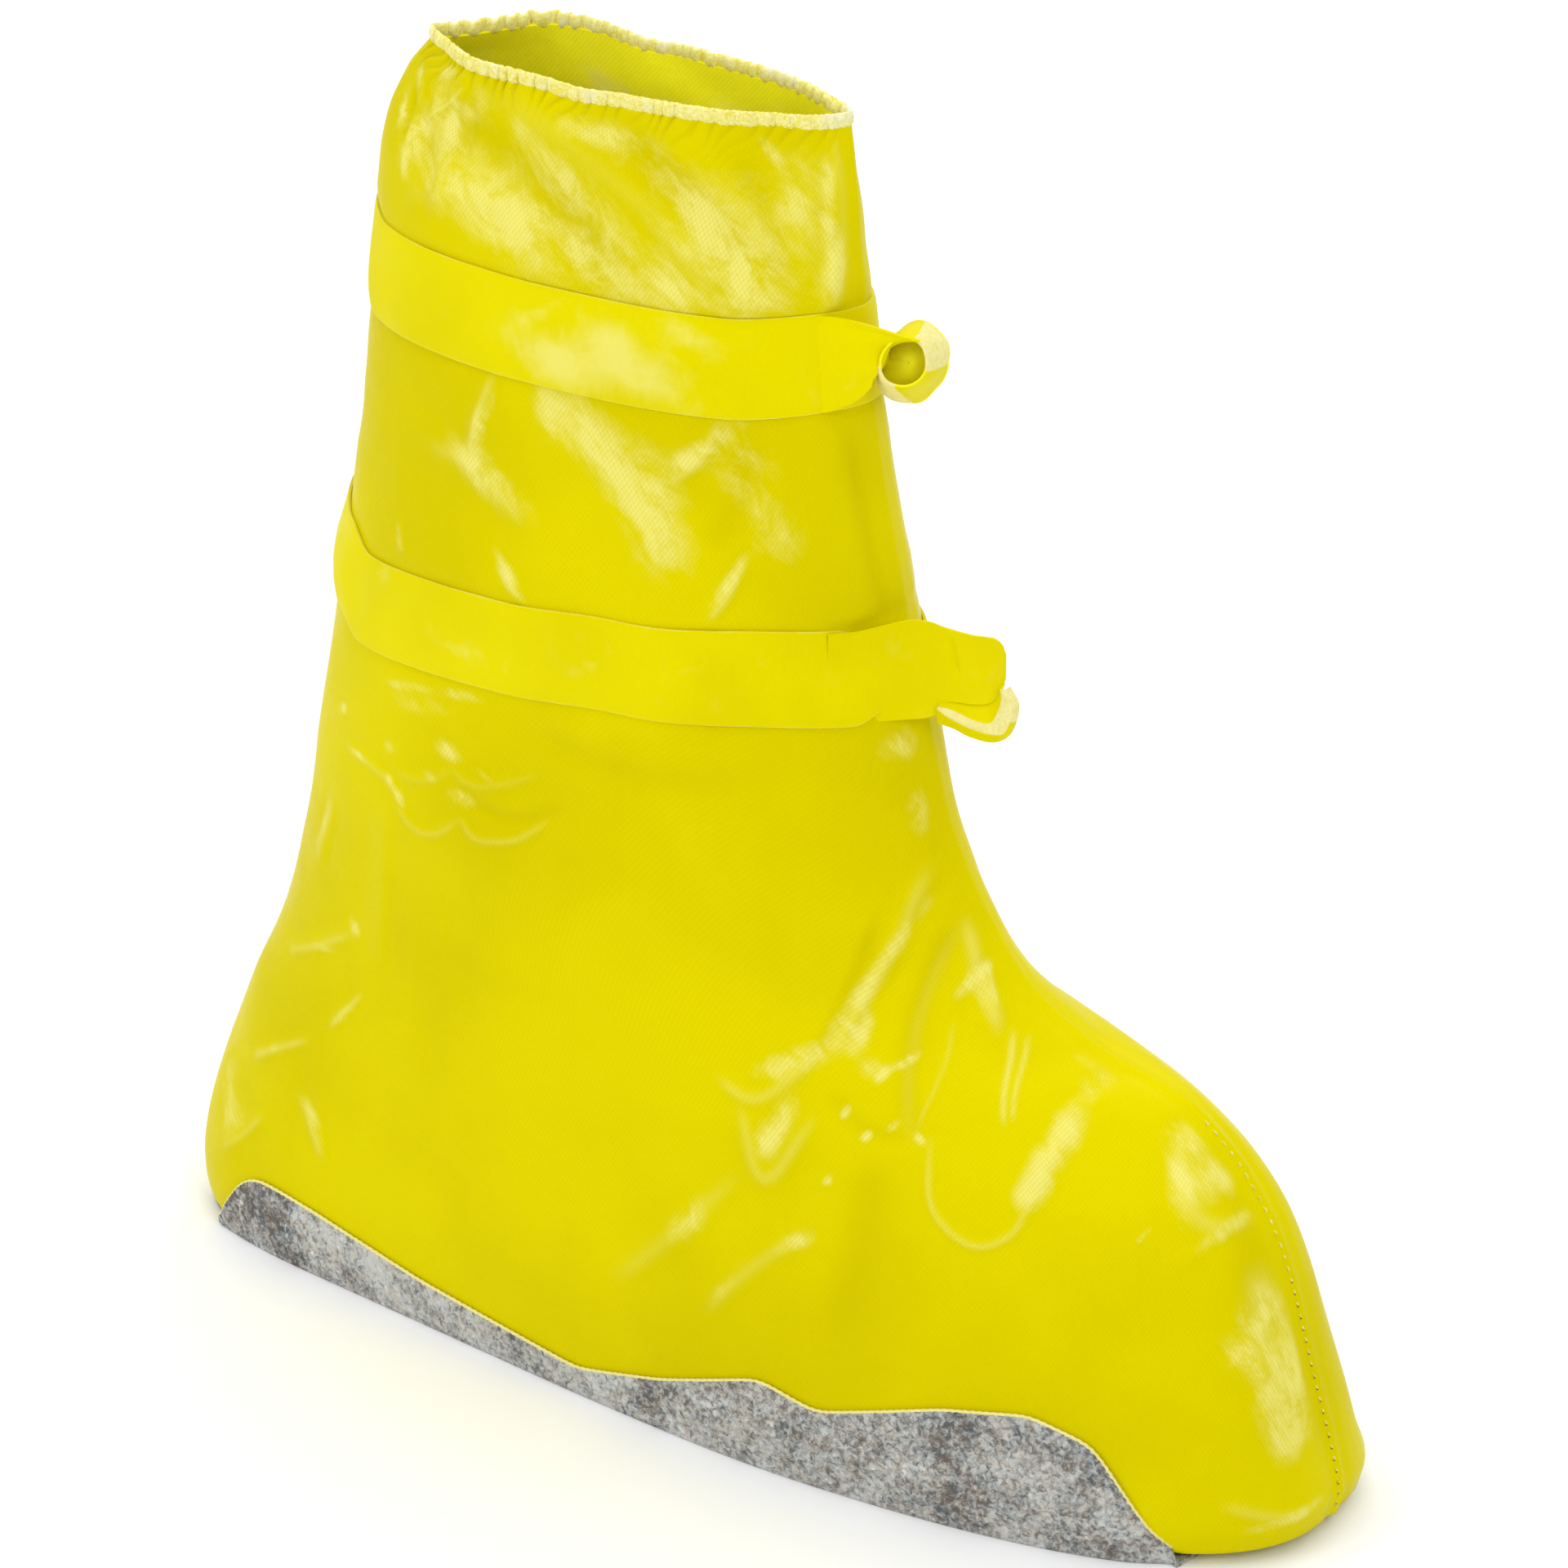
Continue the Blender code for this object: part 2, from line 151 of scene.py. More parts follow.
# Height of the sole's wavy rim, from the heel to the toe, and the weights that round its corners
Rim = namedtuple("Rim", "along height")
SOLE_RIM = rows_of(Rim, (
    (0.00, SOLE_LIP), (0.056, SOLE_LIP), (0.068, 0.011), (0.086, 0.0205), (0.105, 0.0240), (0.135, 0.0236),
    (0.17, 0.022), (0.28, 0.015), (0.44, 0.009), (0.52, 0.017), (0.61, 0.0295), (0.66, 0.025),
    (0.76, 0.037), (0.825, 0.041), (0.874, 0.035), (0.918, 0.010), (0.937, SOLE_LIP), (1.00, SOLE_LIP),
))
RIM_PLACES = np.linspace(-0.1, 1.1, 1201)
RIM_WEIGHTS = np.exp(-0.5 * np.linspace(-3.0, 3.0, 49) ** 2)

# The two straps from the back seam to the front, on the near side and on the far side: height of the middle,
# how far they stand off the film, and the share of their width that is left where they are drawn together
Strap = namedtuple("Strap", "along height stand_off wide")
UPPER_STRAP = rows_of(Strap, (
    (0.00, 0.331, 0.0010, 1.0), (0.08, 0.327, 0.0004, 1.0), (0.30, 0.3255, 0.0003, 1.0),
    (0.82, 0.3240, 0.0003, 1.0), (1.00, 0.3262, 0.0003, 1.0),
))
UPPER_STRAP_FAR = rows_of(Strap, (
    (0.00, 0.331, 0.0010, 1.0), (0.50, 0.3262, 0.0003, 1.0), (1.00, 0.3262, 0.0003, 1.0),
))
LOWER_STRAP = rows_of(Strap, (
    (0.00, 0.241, 0.0024, 1.0), (0.06, 0.234, 0.0015, 1.0), (0.13, 0.228, 0.0003, 1.0),
    (0.40, 0.230, 0.0003, 1.0), (0.62, 0.233, 0.0003, 1.0), (0.94, 0.2357, 0.0003, 1.0),
    (1.00, 0.236, 0.0003, 0.5),
))
LOWER_STRAP_FAR = rows_of(Strap, (
    (0.00, 0.241, 0.0024, 1.0), (0.45, 0.2315, 0.0003, 1.0), (0.72, 0.2300, 0.0003, 0.95),
    (1.00, 0.236, 0.0003, 0.5),
))

# Creases of the film, in millimetres from the back of the heel and above the floor: the line that each one
# follows, its half width, how far it stands out or sinks in, and the strength of the painted highlight on its
# crest
Fold = namedtuple("Fold", "path width height line")
NEAR_FOLDS = rows_of(Fold, (
    # Shaft above the upper tie
    (((100, 380), (126, 374), (152, 362), (180, 342)), 9, -1.5, 0.0),
    (((128, 388), (160, 376), (190, 360), (206, 340)), 7, 1.5, 0.1),
    (((168, 386), (194, 370), (216, 352)), 7, -1.2, 0.0),
    (((96, 352), (128, 360), (160, 352)), 8, 1.1, 0.1),
    (((229, 388), (233, 368), (233, 347)), 3, 1.2, 0.5),
    (((206, 384), (216, 366), (222, 346)), 5, -1.0, 0.0),
    (((94, 378), (104, 366), (108, 348)), 4, -1.0, 0.1),
    (((97, 373), (105, 379), (113, 386)), 1.8, 0.6, 0.55),
    (((88, 386), (91, 376), (90, 364)), 2.4, -0.8, 0.0),
    (((116, 386), (118, 376), (116, 366)), 2.2, -0.7, 0.0),
    # Between the ties
    (((136, 310), (131, 296), (129, 286)), 3.5, 0.9, 0.4),
    (((112, 284), (132, 281), (150, 270)), 6, 1.0, 0.2),
    (((164, 311), (176, 294), (190, 280), (194, 262)), 7, 1.2, 0.2),
    (((208, 309), (203, 297), (194, 289)), 3.5, 0.8, 0.4),
    (((216, 306), (216, 288), (207, 270)), 6, -0.9, 0.0),
    (((140, 258), (145, 251), (150, 246)), 2.6, 0.7, 0.5),
    (((217, 270), (214, 260), (209, 252)), 2.6, 0.7, 0.5),
    (((237, 307), (243, 278), (250, 248)), 2.0, -1.1, 0.0),
    (((100, 256), (103, 248)), 2.4, 0.5, 0.3),
    # Ankle, below the lower tie
    (((101, 179), (113, 180), (123, 186)), 2.6, 0.6, 0.10),
    (((123, 187), (131, 184), (140, 186), (155, 193)), 2.6, 0.6, 0.12),
    (((101, 168), (108, 163), (117, 164), (126, 171)), 2.4, 0.7, 0.24),
    (((126, 172), (132, 167), (140, 168), (148, 171), (158, 179)), 2.4, 0.7, 0.26),
    (((126, 180), (144, 176), (164, 184)), 3.0, -0.7, 0.0),
    (((76, 179), (87, 178), (98, 175), (103, 169)), 2.4, 0.7, 0.28),
    (((68, 156), (60, 134)), 3.4, 0.8, 0.3),
    (((150, 206), (190, 200), (226, 204)), 7, -0.6, 0.0),
    (((94, 165), (91, 140), (88, 112)), 6, 0.6, 0.05),
    # Heel
    (((46, 99), (60, 106), (78, 117)), 3.6, 0.8, 0.35),
    (((34, 60), (46, 68), (60, 76)), 2.8, 0.6, 0.4),
    (((70, 84), (76, 91), (83, 99)), 2.6, 0.6, 0.4),
    (((58, 58), (65, 50), (70, 41)), 3.0, 0.7, 0.4),
    (((24, 27), (34, 36), (42, 45)), 3.0, 0.7, 0.3),
    # Instep, creases running down and back from the bend
    (((266, 178), (262, 156), (252, 126)), 4.0, 1.1, 0.3),
    (((258, 166), (253, 142), (246, 120)), 3.2, -0.9, 0.0),
    (((276, 164), (284, 148), (294, 136)), 3.0, 1.1, 0.5),
    (((276, 164), (273, 138), (282, 110)), 4.4, -1.0, 0.1),
    (((297, 136), (303, 126), (307, 118)), 1.7, 0.5, 0.75),
    (((301, 135), (306, 126), (309, 119)), 1.5, 0.4, 0.55),
    (((283, 153), (287, 146), (291, 140)), 1.3, 0.4, 0.70),
    (((282, 138), (285, 126), (283, 112)), 1.6, 0.4, 0.20),
    (((268, 182), (288, 160), (312, 140)), 5.0, -1.0, 0.0),
    # Middle of the foot
    (((220, 114), (234, 112), (250, 128)), 4.0, 0.8, 0.3),
    (((228, 108), (240, 90), (252, 110)), 4.4, 0.8, 0.3),
    (((254, 118), (269, 110), (284, 112)), 4.0, -0.7, 0.0),
    (((230, 88), (210, 64), (190, 44)), 6.0, 0.9, 0.15),
    (((256, 79), (236, 60), (224, 45)), 5.0, 0.7, 0.2),
    (((271, 104), (273, 76), (268, 46)), 9.0, -0.9, 0.0),
    # Ball and toe
    (((288, 112), (293, 94), (306, 86), (317, 91), (321, 103)), 2.1, 0.7, 0.42),
    (((324, 126), (323, 114), (320, 102)), 5.0, 0.9, 0.2),
    (((351, 116), (356, 108), (364, 98), (374, 95)), 4.0, 0.9, 0.35),
    (((362, 112), (370, 102), (378, 84), (386, 60)), 4.0, -0.9, 0.0),
    (((378, 84), (385, 62), (391, 42)), 4.0, 0.8, 0.3),
    (((384, 20), (396, 14), (400, 12)), 3.4, 0.8, 0.3),
))
FAR_FOLDS = rows_of(Fold, (
    (((104, 372), (136, 366), (170, 346)), 8, 1.4, 0.1),
    (((140, 386), (176, 368), (212, 350)), 8, -1.4, 0.0),
    (((196, 386), (214, 370), (226, 348)), 5, 1.1, 0.2),
    (((130, 308), (138, 288), (160, 270)), 6, 1.1, 0.2),
    (((178, 310), (186, 286), (180, 258)), 7, -1.1, 0.0),
    (((214, 308), (222, 282), (236, 258)), 6, 1.0, 0.2),
    (((92, 186), (126, 178), (160, 184)), 5, 0.9, 0.3),
    (((104, 170), (136, 166), (168, 174)), 4, 0.8, 0.3),
    (((64, 150), (58, 124)), 4, 0.8, 0.2),
    (((44, 84), (62, 96), (84, 104)), 4, 0.7, 0.3),
    (((32, 46), (54, 56), (68, 46)), 4, 0.7, 0.2),
    (((266, 168), (258, 148), (240, 122)), 5, 0.8, 0.3),
    (((276, 150), (280, 132), (272, 108)), 5, -0.6, 0.0),
    (((232, 110), (220, 82), (196, 58)), 6, 0.9, 0.2),
    (((262, 92), (252, 66), (234, 48)), 6, -0.8, 0.0),
    (((306, 98), (318, 84), (332, 88)), 4, 0.6, 0.4),
))

# How folds fade out at their ends, how wide the painted highlight on a crest is, and how deep the painted
# shade of a sunk one
FOLD_END, FOLD_TAPER = 0.25, 4
CREST_WIDE = 0.34
DIP_SHADE = 0.6

# Flats of the film that lean back a little, each with a painted highlight of its strength, in millimetres and
# degrees
Flat = namedtuple("Flat", "x z long wide turn strength")
NEAR_FLATS = rows_of(Flat, (
    # Shaft above the upper tie
    (150, 362, 62, 20, -10, 0.24), (208, 362, 26, 22, -40, 0.26), (124, 357, 30, 9, -22, 0.62),
    (160, 350, 36, 9, -16, 0.52), (150, 371, 26, 6, -30, 0.55), (196, 364, 28, 8, -38, 0.60),
    (192, 345, 7, 5, -20, 0.80), (214, 349, 9, 9, -50, 0.70), (222, 372, 10, 12, 0, 0.45),
    (99, 374, 12, 5, 65, 0.60), (114, 379, 9, 4, 40, 0.45), (233, 358, 14, 2.5, 84, 0.85),
    (91, 382, 4.5, 2.2, -55, 0.90), (87, 373, 5.0, 2.0, -80, 0.85), (95, 364, 6.0, 2.4, -86, 0.75),
    (104, 388, 3.5, 1.6, 25, 0.85), (110, 376, 7.0, 2.2, -80, 0.75), (163, 383, 14, 4.0, -6, 0.55),
    (215, 383, 5.0, 1.4, -50, 0.70), (229, 376, 6.0, 1.6, -78, 0.90), (230, 366, 6.0, 1.6, -74, 0.90),
    # Between the ties
    (133, 298, 11, 3, 72, 0.75), (136, 279, 17, 6, -28, 0.75), (156, 303, 9, 5, -60, 0.60),
    (172, 297, 17, 7, -52, 0.90), (191, 280, 19, 10, -72, 0.85), (203, 300, 11, 3, 40, 0.75),
    (216, 294, 15, 8, -62, 0.50), (226, 276, 9, 7, -50, 0.40), (144, 252, 8, 2.6, -52, 0.85),
    (213, 262, 9, 2, 64, 0.70), (101, 251, 3, 1.8, -50, 0.60),
    # Ankle
    (110, 203, 16, 4, 8, 0.35), (84, 178, 5.0, 1.6, -14, 0.75), (98, 175, 2.6, 1.5, -60, 0.80),
    (98, 186, 3.2, 2.6, 0, 0.50), (122, 192, 5.5, 3.2, -14, 0.66), (74, 189, 3.2, 2.2, 20, 0.90),
    (106, 208, 13, 1.8, 10, 0.50), (126, 211, 9.0, 2.0, 4, 0.50), (102, 171, 3.4, 1.7, -50, 0.80),
    (127, 178, 5.6, 3.0, -10, 0.75), (115, 182, 4.0, 1.7, -10, 0.50), (136, 188, 5.0, 1.6, -20, 0.45),
    (62, 146, 3, 10, -16, 0.45), (258, 215, 6, 5, 0, 0.65), (263, 196, 4, 9, 10, 0.55),
    # Heel
    (79, 119, 4.0, 2.6, -50, 0.80), (64, 107, 8.0, 1.7, 10, 0.45), (29, 37, 11, 6.0, 62, 0.38),
    (20, 54, 15, 6.0, 80, 0.32), (43, 67, 9, 2.2, 30, 0.55), (76, 91, 7, 2.4, 48, 0.55),
    (65, 51, 10, 2.8, -62, 0.60), (24, 42, 14, 6, 84, 0.30),
    # Instep
    (262, 157, 15, 2.6, 66, 0.60), (254, 138, 12, 3.6, 62, 0.55), (258, 133, 4, 5, 0, 0.70),
    (283, 149, 5, 2, 60, 0.95), (286, 145, 9, 1.8, -50, 0.75), (240, 123, 12, 4, 24, 0.65),
    (240, 104, 13, 5, 64, 0.70), (265, 126, 4, 3, 0, 0.50), (259, 135, 3.0, 2.0, 70, 0.90),
    (269, 125, 2.6, 1.5, 60, 0.85), (274, 129, 3.2, 1.6, 40, 0.80), (261, 114, 2.4, 1.6, 60, 0.75),
    (269, 109, 2.4, 1.5, 50, 0.70), (276, 113, 2.8, 1.5, 50, 0.75), (260, 95, 2.6, 1.8, 60, 0.60),
    (285, 111, 3.0, 1.4, -30, 0.70), (352, 95, 2.4, 1.0, 60, 0.80), (319, 131, 6.0, 2.2, -10, 0.45),
    (323, 116, 13, 5, 76, 0.80), (320, 103, 5, 4, 60, 0.70),
    # Middle of the foot
    (214, 70, 12, 5, 52, 0.65), (252, 74, 8, 3, 34, 0.55), (230, 54, 9, 3, 42, 0.40),
    # Toe
    (357, 106, 11, 3, -62, 0.75), (366, 109, 7, 6, -40, 0.80), (371, 96, 9, 2.6, 44, 0.65),
    (353, 117, 8, 3, -24, 0.55), (383, 68, 14, 4, -70, 0.80), (380, 62, 7, 5, -40, 0.65),
    (389, 50, 12, 4, -74, 0.75), (393, 36, 8, 3, -76, 0.60), (397, 13, 9, 2.2, 10, 0.60),
))
FAR_FLATS = rows_of(Flat, (
    (130, 360, 30, 9, -20, 0.60), (184, 352, 30, 9, -26, 0.60), (146, 286, 18, 7, -40, 0.60),
    (210, 282, 18, 7, -66, 0.60), (128, 176, 20, 4, 0, 0.45), (70, 100, 12, 3, 24, 0.50),
    (258, 146, 16, 4, 64, 0.60), (232, 96, 14, 6, 58, 0.60), (316, 98, 12, 4, 50, 0.60),
))
# Painted highlights on the near side of the straps, in the same columns; the straps don't lean with them
STRAP_FLATS = rows_of(Flat, (
    (160, 319, 16, 7, -14, 0.75), (176, 326, 9, 6, -30, 0.75), (186, 320, 14, 6, -20, 0.60),
    (199, 332, 9, 3, -24, 0.50), (150, 331, 10, 1.6, 30, 0.40), (96, 243, 3, 9, 0, 0.35),
    (128, 226, 16, 3, -10, 0.30), (172, 231, 6, 2, 20, 0.30),
))
FLAT_LEAN = 0.22

# Straps: painted highlight along their edges and the inward turn of their edges, how the slack lies across
# them from the lower edge, -1, to the top edge, 1, and how uneven they are
STRAP_EDGE_PAINTED_GLEAM = 0.45
STRAP_EDGE_IN = 0.00045
STRAP_EDGE_TURN = 8
SLACK_AT_EDGE = 0.25
SLACK_GROWS = (-1.1, -0.5)
SLACK_ENDS = (-0.3, 0.9)
STRAP_SWELL, STRAP_SWELL_SIZE, STRAP_SWELL_LEVEL = 0.0003, 0.034, 0.6
STRAP_WAVE, STRAP_WAVE_SIZE = 0.0006, 0.030

# Film beside a strap: where it comes free of the strap's edge, and its swell beyond
TIED_FREE = (-0.001, 0.003)
TIED_SWELL, TIED_SWELL_FROM, TIED_SWELL_OUT = 0.0004, 0.001, 0.006

# Soft unevenness of the film: depth in millimetres by height above the floor in millimetres
Uneven = namedtuple("Uneven", "along depth")
UNEVENNESS = rows_of(Uneven, (
    (0, 0.0), (30, 0.35), (90, 0.50), (180, 0.55), (220, 0.7), (260, 1.0), (310, 1.0), (345, 1.3),
    (397, 1.0),
))

# Swells: about how long each one is and where in the noise it is read. A level is about the mean of what is
# read, so that the film as a whole stays where it is.
Swell = namedtuple("Swell", "size shift")
BROAD = Swell(0.046, (3.1, 0.0, 7.7))
FINE = Swell(0.019, (1.7, 5.2, 0.4))
FINE_SHARE, FINE_LEVEL = 0.45, 0.25
CRINKLE = Swell(0.0085, (8.3, 2.9, 6.1))
CRINKLE_DEPTH, CRINKLE_LEVEL = 0.0008, 0.3
TOE_SMOOTH, TOE_SMOOTH_OVER = 0.75, (330, 370)
FOLDS_FROM_SEAM = (SEAM_HALF, SEAM_HALF + 0.008)
ABOVE_RIM = (0.0005, 0.0105)
# Painted highlight in patches on the inside of the film, and its level and spread
INSIDE_PATCHES = Swell(0.024, (7.0, 1.0, 2.0))
INSIDE_PAINTED_GLEAM, INSIDE_PATCHY = 0.15, 0.9

# Gathers under the collar
GATHER_PITCH = 0.0048
GATHER_DEPTH = 0.0016
GATHER_FADE = 0.0060
GATHER_WANDER = Swell(2.4 * GATHER_PITCH, (2.0, 9.1))
# Sway and level of the gathers, and the painted shade in their hollows
GATHER_SWAY, GATHER_LEVEL, GATHER_SHADE = 3.5, 0.6, 1.6
GATHER_MEAN, GATHER_UNEVEN = 0.8, 0.7

# Where the soft film departs from the plain skin. Pinched ends of the collar, by share of its length:
PINCH = 0.45
PINCH_SHARE = 0.22
PINCH_FROM = 0.360
# the back of the collar leaning in, and its far side opening out and up, most of all near the back:
COLLAR_BACK_IN = 0.0035
COLLAR_BACK_SHARE = 0.25
COLLAR_BACK_OVER = (0.382, 0.394)
COLLAR_FAR_OUT = 0.0035
COLLAR_FAR_MOST = 1.5
COLLAR_FAR_UP = 0.0036
COLLAR_FAR_DROP, COLLAR_FAR_DROP_OVER = 1.15, (0.15, 0.45)
EDGE_WAVE, EDGE_WAVE_FADE = 0.0010, 0.008
EDGE_WAVES = Swell(0.020, (4.4, 1.3, 0.0))
# the heel drawn in at the floor, and the toe reaching down to it:
HEEL_IN, HEEL_IN_TOP, HEEL_IN_AHEAD = 0.0032, 0.022, 0.055
TOE_DOWN_OVER, TOE_DOWN_TOP = (0.366, 0.376), 0.012
# the far side of the toe and instep lying flatter, ahead of one place and between two heights
TOE_FAR_FLAT = 0.16
TOE_FAR_AHEAD = (0.27, 0.34)
TOE_FAR_TOP = (0.18, 0.14)
TOE_FAR_FOOT = (0.004, 0.024)

# Collar hem: its band, which sways, and the threads round it
HEM_STEPS = 1320
HEM_ROUND = 16
HEM_HALF_THICK = 0.0010
HEM_HALF_TALL = 0.0022
THREAD_PITCH = 0.0017
THREAD_DEPTH = 0.00026
THREAD_SLANT = 0.45
THREAD_SWELL, THREAD_MEAN, THREAD_UNEVEN = 0.006, 0.8, 0.4
HEM_OVERLAP = 0.0010
HEM_SWAY = 0.0006
HEM_ASIDE = Swell(0.016, (0.0, 0.0, 2.5))
HEM_RISE = Swell(0.024, (5.0, 0.0, 0.0))

# Edge thread of the sole
EDGE_RADIUS = 0.00058
EDGE_SIDES = 8
EDGE_STEP = 0.0004
EDGE_TWIST = 0.0022
EDGE_TWIST_DEPTH = 0.16

# How the sole goes in under the back of the heel and beside the toe, its rim where it lies flat, and the
# rounding of its lower edge
HEEL_TUCK, HEEL_TUCK_OVER = 0.0045, (0.018, 0.026)
TOE_TUCK, TOE_TUCK_OVER = 0.0013, (0.358, 0.372)
FLAT_RIM = SOLE_THICK + 0.0001
SOLE_ROUND, SOLE_ROUND_TURN = 0.0008, 6

# Camera and floor
LOOK_AT = Vector((0.0303, -0.0300, 0.2030))
CAMERA_AZIMUTH = 33.5
CAMERA_ELEVATION = 25.0
CAMERA_DISTANCE = 1.7515
CAMERA_LENS = 141.4
SENSOR = 36.0
FLOOR_HALF = 9.0
FLOOR_DOWN = 0.0002


def eased(t):
    t = np.clip(t, 0.0, 1.0)
    return t * t * (3.0 - 2.0 * t)


def fade(value, start, end):
    """Eased share from 0 at start to 1 at end, which may also be the lower of the two."""
    return eased((value - start) / (end - start))


def unit(vectors):
    """Vectors brought to a length of one."""
    return vectors / np.maximum(np.linalg.norm(vectors, axis=-1, keepdims=True), 1e-12)


def travelled(points):
    """Length of the way along a path, or down each column of a grid, up to each of its points."""
    steps = np.linalg.norm(np.diff(points, axis=0), axis=-1)
    return np.concatenate([np.zeros((1, *steps.shape[1:])), np.cumsum(steps, axis=0)])


def facing(turn, rise):
    """Direction turned from the near side towards the front, and raised."""
    return math.sin(turn) * math.cos(rise), -math.cos(turn) * math.cos(rise), math.sin(rise)


def linked(name, data):
    """A new object in the scene."""
    thing = bpy.data.objects.new(name, data)
    bpy.context.scene.collection.objects.link(thing)
    return thing


def read_table(rows, column, along):
    """Values of one column at places along a table, eased from row to row."""
    stops = np.array([row.along for row in rows])
    values = np.array([getattr(row, column) for row in rows])
    place = np.clip(np.searchsorted(stops, along, side="right") - 1, 0, len(rows) - 2)
    t = eased((along - stops[place]) / (stops[place + 1] - stops[place]))
    return values[place] + t * (values[place + 1] - values[place])


def through(rows, place):
    """Values at a fractional row of a table, on a smooth curve through the rows."""
    last = len(rows) - 1
    row = min(int(place), last - 1)
    t = place - row
    here, there = np.array(rows[row], float), np.array(rows[row + 1], float)
    before = np.array(rows[row - 1], float) if row > 0 else 2 * here - there
    after = np.array(rows[row + 2], float) if row + 2 <= last else 2 * there - here
    bend = 2 * before - 5 * here + 4 * there - after
    twist = 3 * here - before - 3 * there + after
    return here + 0.5 * ((there - before) * t + bend * t * t + twist * t ** 3)


def half_ring(section):
    """Closely spaced points of the near side of a ring, from the back seam to the front seam."""
    angle = math.pi * eased(np.linspace(0.0, 1.0, RING_POINTS))
    blunt = section.back_blunt + (section.front_blunt - section.back_blunt) * eased((1 - np.cos(angle)) / 2)
    reach = -np.sign(np.cos(angle)) * np.abs(np.cos(angle)) ** (2 / blunt)
    along = (reach + 1) / 2
    half = section.heel_half + (section.ball_half - section.heel_half) * fade(along, *WIDENS_OVER)
    x = LENGTH * (section.back_x + (section.front_x - section.back_x) * along)
    y = -HALF_WIDTH * half * np.abs(np.sin(angle)) ** (2 / blunt)
    z = SEAT + UPPER_TALL * (section.back_z + (section.front_z - section.back_z) * along)
    return np.stack([x, y, z], axis=1), along


def sole_rim(x):
    """Height of the sole's rim at places along the boot, without corners."""
    heights = np.interp(RIM_PLACES, [row.along for row in SOLE_RIM], [row.height for row in SOLE_RIM])
    return np.interp(x / LENGTH, RIM_PLACES, np.convolve(heights, RIM_WEIGHTS / RIM_WEIGHTS.sum(), "same"))


class HalfSkin:
    """Near half of the upper's outside as a grid: rows of points from the back seam to the front seam."""

    def __init__(self, places, columns):
        rows = [self.row(place, columns) for place in places]
        self.points = np.array([row[0] for row in rows])
        self.along = np.array([row[1] for row in rows])
        self.travel = np.array([row[2] for row in rows])
        forward = np.gradient(self.points[..., :2], axis=1)
        forward[:, (0, -1), 0] = 0.0
        level = np.zeros(forward.shape[:2])
        self.outward = unit(np.stack([forward[..., 1], -forward[..., 0], level], axis=-1))

    @staticmethod
    def row(place, columns):
        points, along = half_ring(Section(*through(SECTIONS, place)))
        travel = travelled(points[:, :2])
        seam = np.array(SEAM_STOPS)
        inner = np.linspace(seam[-1], travel[-1] - seam[-1], columns + 3 - 2 * len(seam))
        stops = np.concatenate([seam[:-1], inner, travel[-1] - seam[-2::-1]])
        side = np.stack([np.interp(stops, travel, points[:, axis]) for axis in range(3)], axis=1)
        return side, np.interp(stops, travel, along), stops

    def at(self, heights, offset):
        """Points of every column at given heights, moved outward level with the floor."""
        found = []
        for k, height in enumerate(heights):
            levels = self.points[:, k, 2]
            place = np.array([np.interp(height, levels, self.points[:, k, axis]) for axis in range(2)])
            way = np.array([np.interp(height, levels, self.outward[:, k, axis]) for axis in range(2)])
            found.append((*(place + np.broadcast_to(offset, len(heights))[k] * way), height))
        return np.array(found)

    def share(self, height):
        return np.array([np.interp(height, self.points[:, k, 2], self.along[:, k])
                         for k in range(self.points.shape[1])])


def even_places(count, low, high):
    """Fractional rows of the section table that lie evenly up the skin between two of its rows."""
    places = np.linspace(low, high, SKIN_LEVELS)
    rings = np.array([half_ring(Section(*through(SECTIONS, place)))[0] for place in places])
    height = travelled(rings).mean(axis=1)
    return np.interp(np.linspace(0.0, height[-1], count), height, places)


def whole_loop(near, far=None):
    """Near half and its mirror image, or that of another half, as one closed loop of columns."""
    far = near if far is None else far
    return np.concatenate([near, far[-2:0:-1] * (1, -1, 1)])


def grid_normals(points, wrap=False):
    """Outward directions of a grid whose columns run forward on the near side and whose rows run up."""
    if wrap:
        across = np.roll(points, -1, axis=1) - np.roll(points, 1, axis=1)
    else:
        across = np.gradient(points, axis=1)
    return unit(np.cross(across, np.gradient(points, axis=0)))


def noise_at(points, size, shift):
    """Smooth unevenness from -1 to 1 at each point of a grid, about one swell to each size."""
    flat = points.reshape(-1, 3) / size + shift
    return np.array([noise.noise(point) for point in flat.tolist()]).reshape(points.shape[:-1])


def smooth_path(points):
    """Close points on a smooth curve through the points of a path."""
    last = len(points) - 1
    return [through(points, place) for place in np.linspace(0, last, FOLD_STEPS * last + 1)]


def fold_reach(x, z, fold):
    """How far each place is from a fold's line, and its share of the way along it."""
    path = smooth_path(fold.path)
    nearest = np.full(x.shape, np.inf)
    share = np.zeros(x.shape)
    for k, (start, end) in enumerate(zip(path, path[1:])):
        run = end - start
        t = np.clip(((x - start[0]) * run[0] + (z - start[1]) * run[1]) / (run @ run), 0.0, 1.0)
        gap = np.hypot(x - start[0] - t * run[0], z - start[1] - t * run[1])
        closer = gap < nearest
        nearest = np.where(closer, gap, nearest)
        share = np.where(closer, (k + t) / (len(path) - 1), share)
    return nearest, share


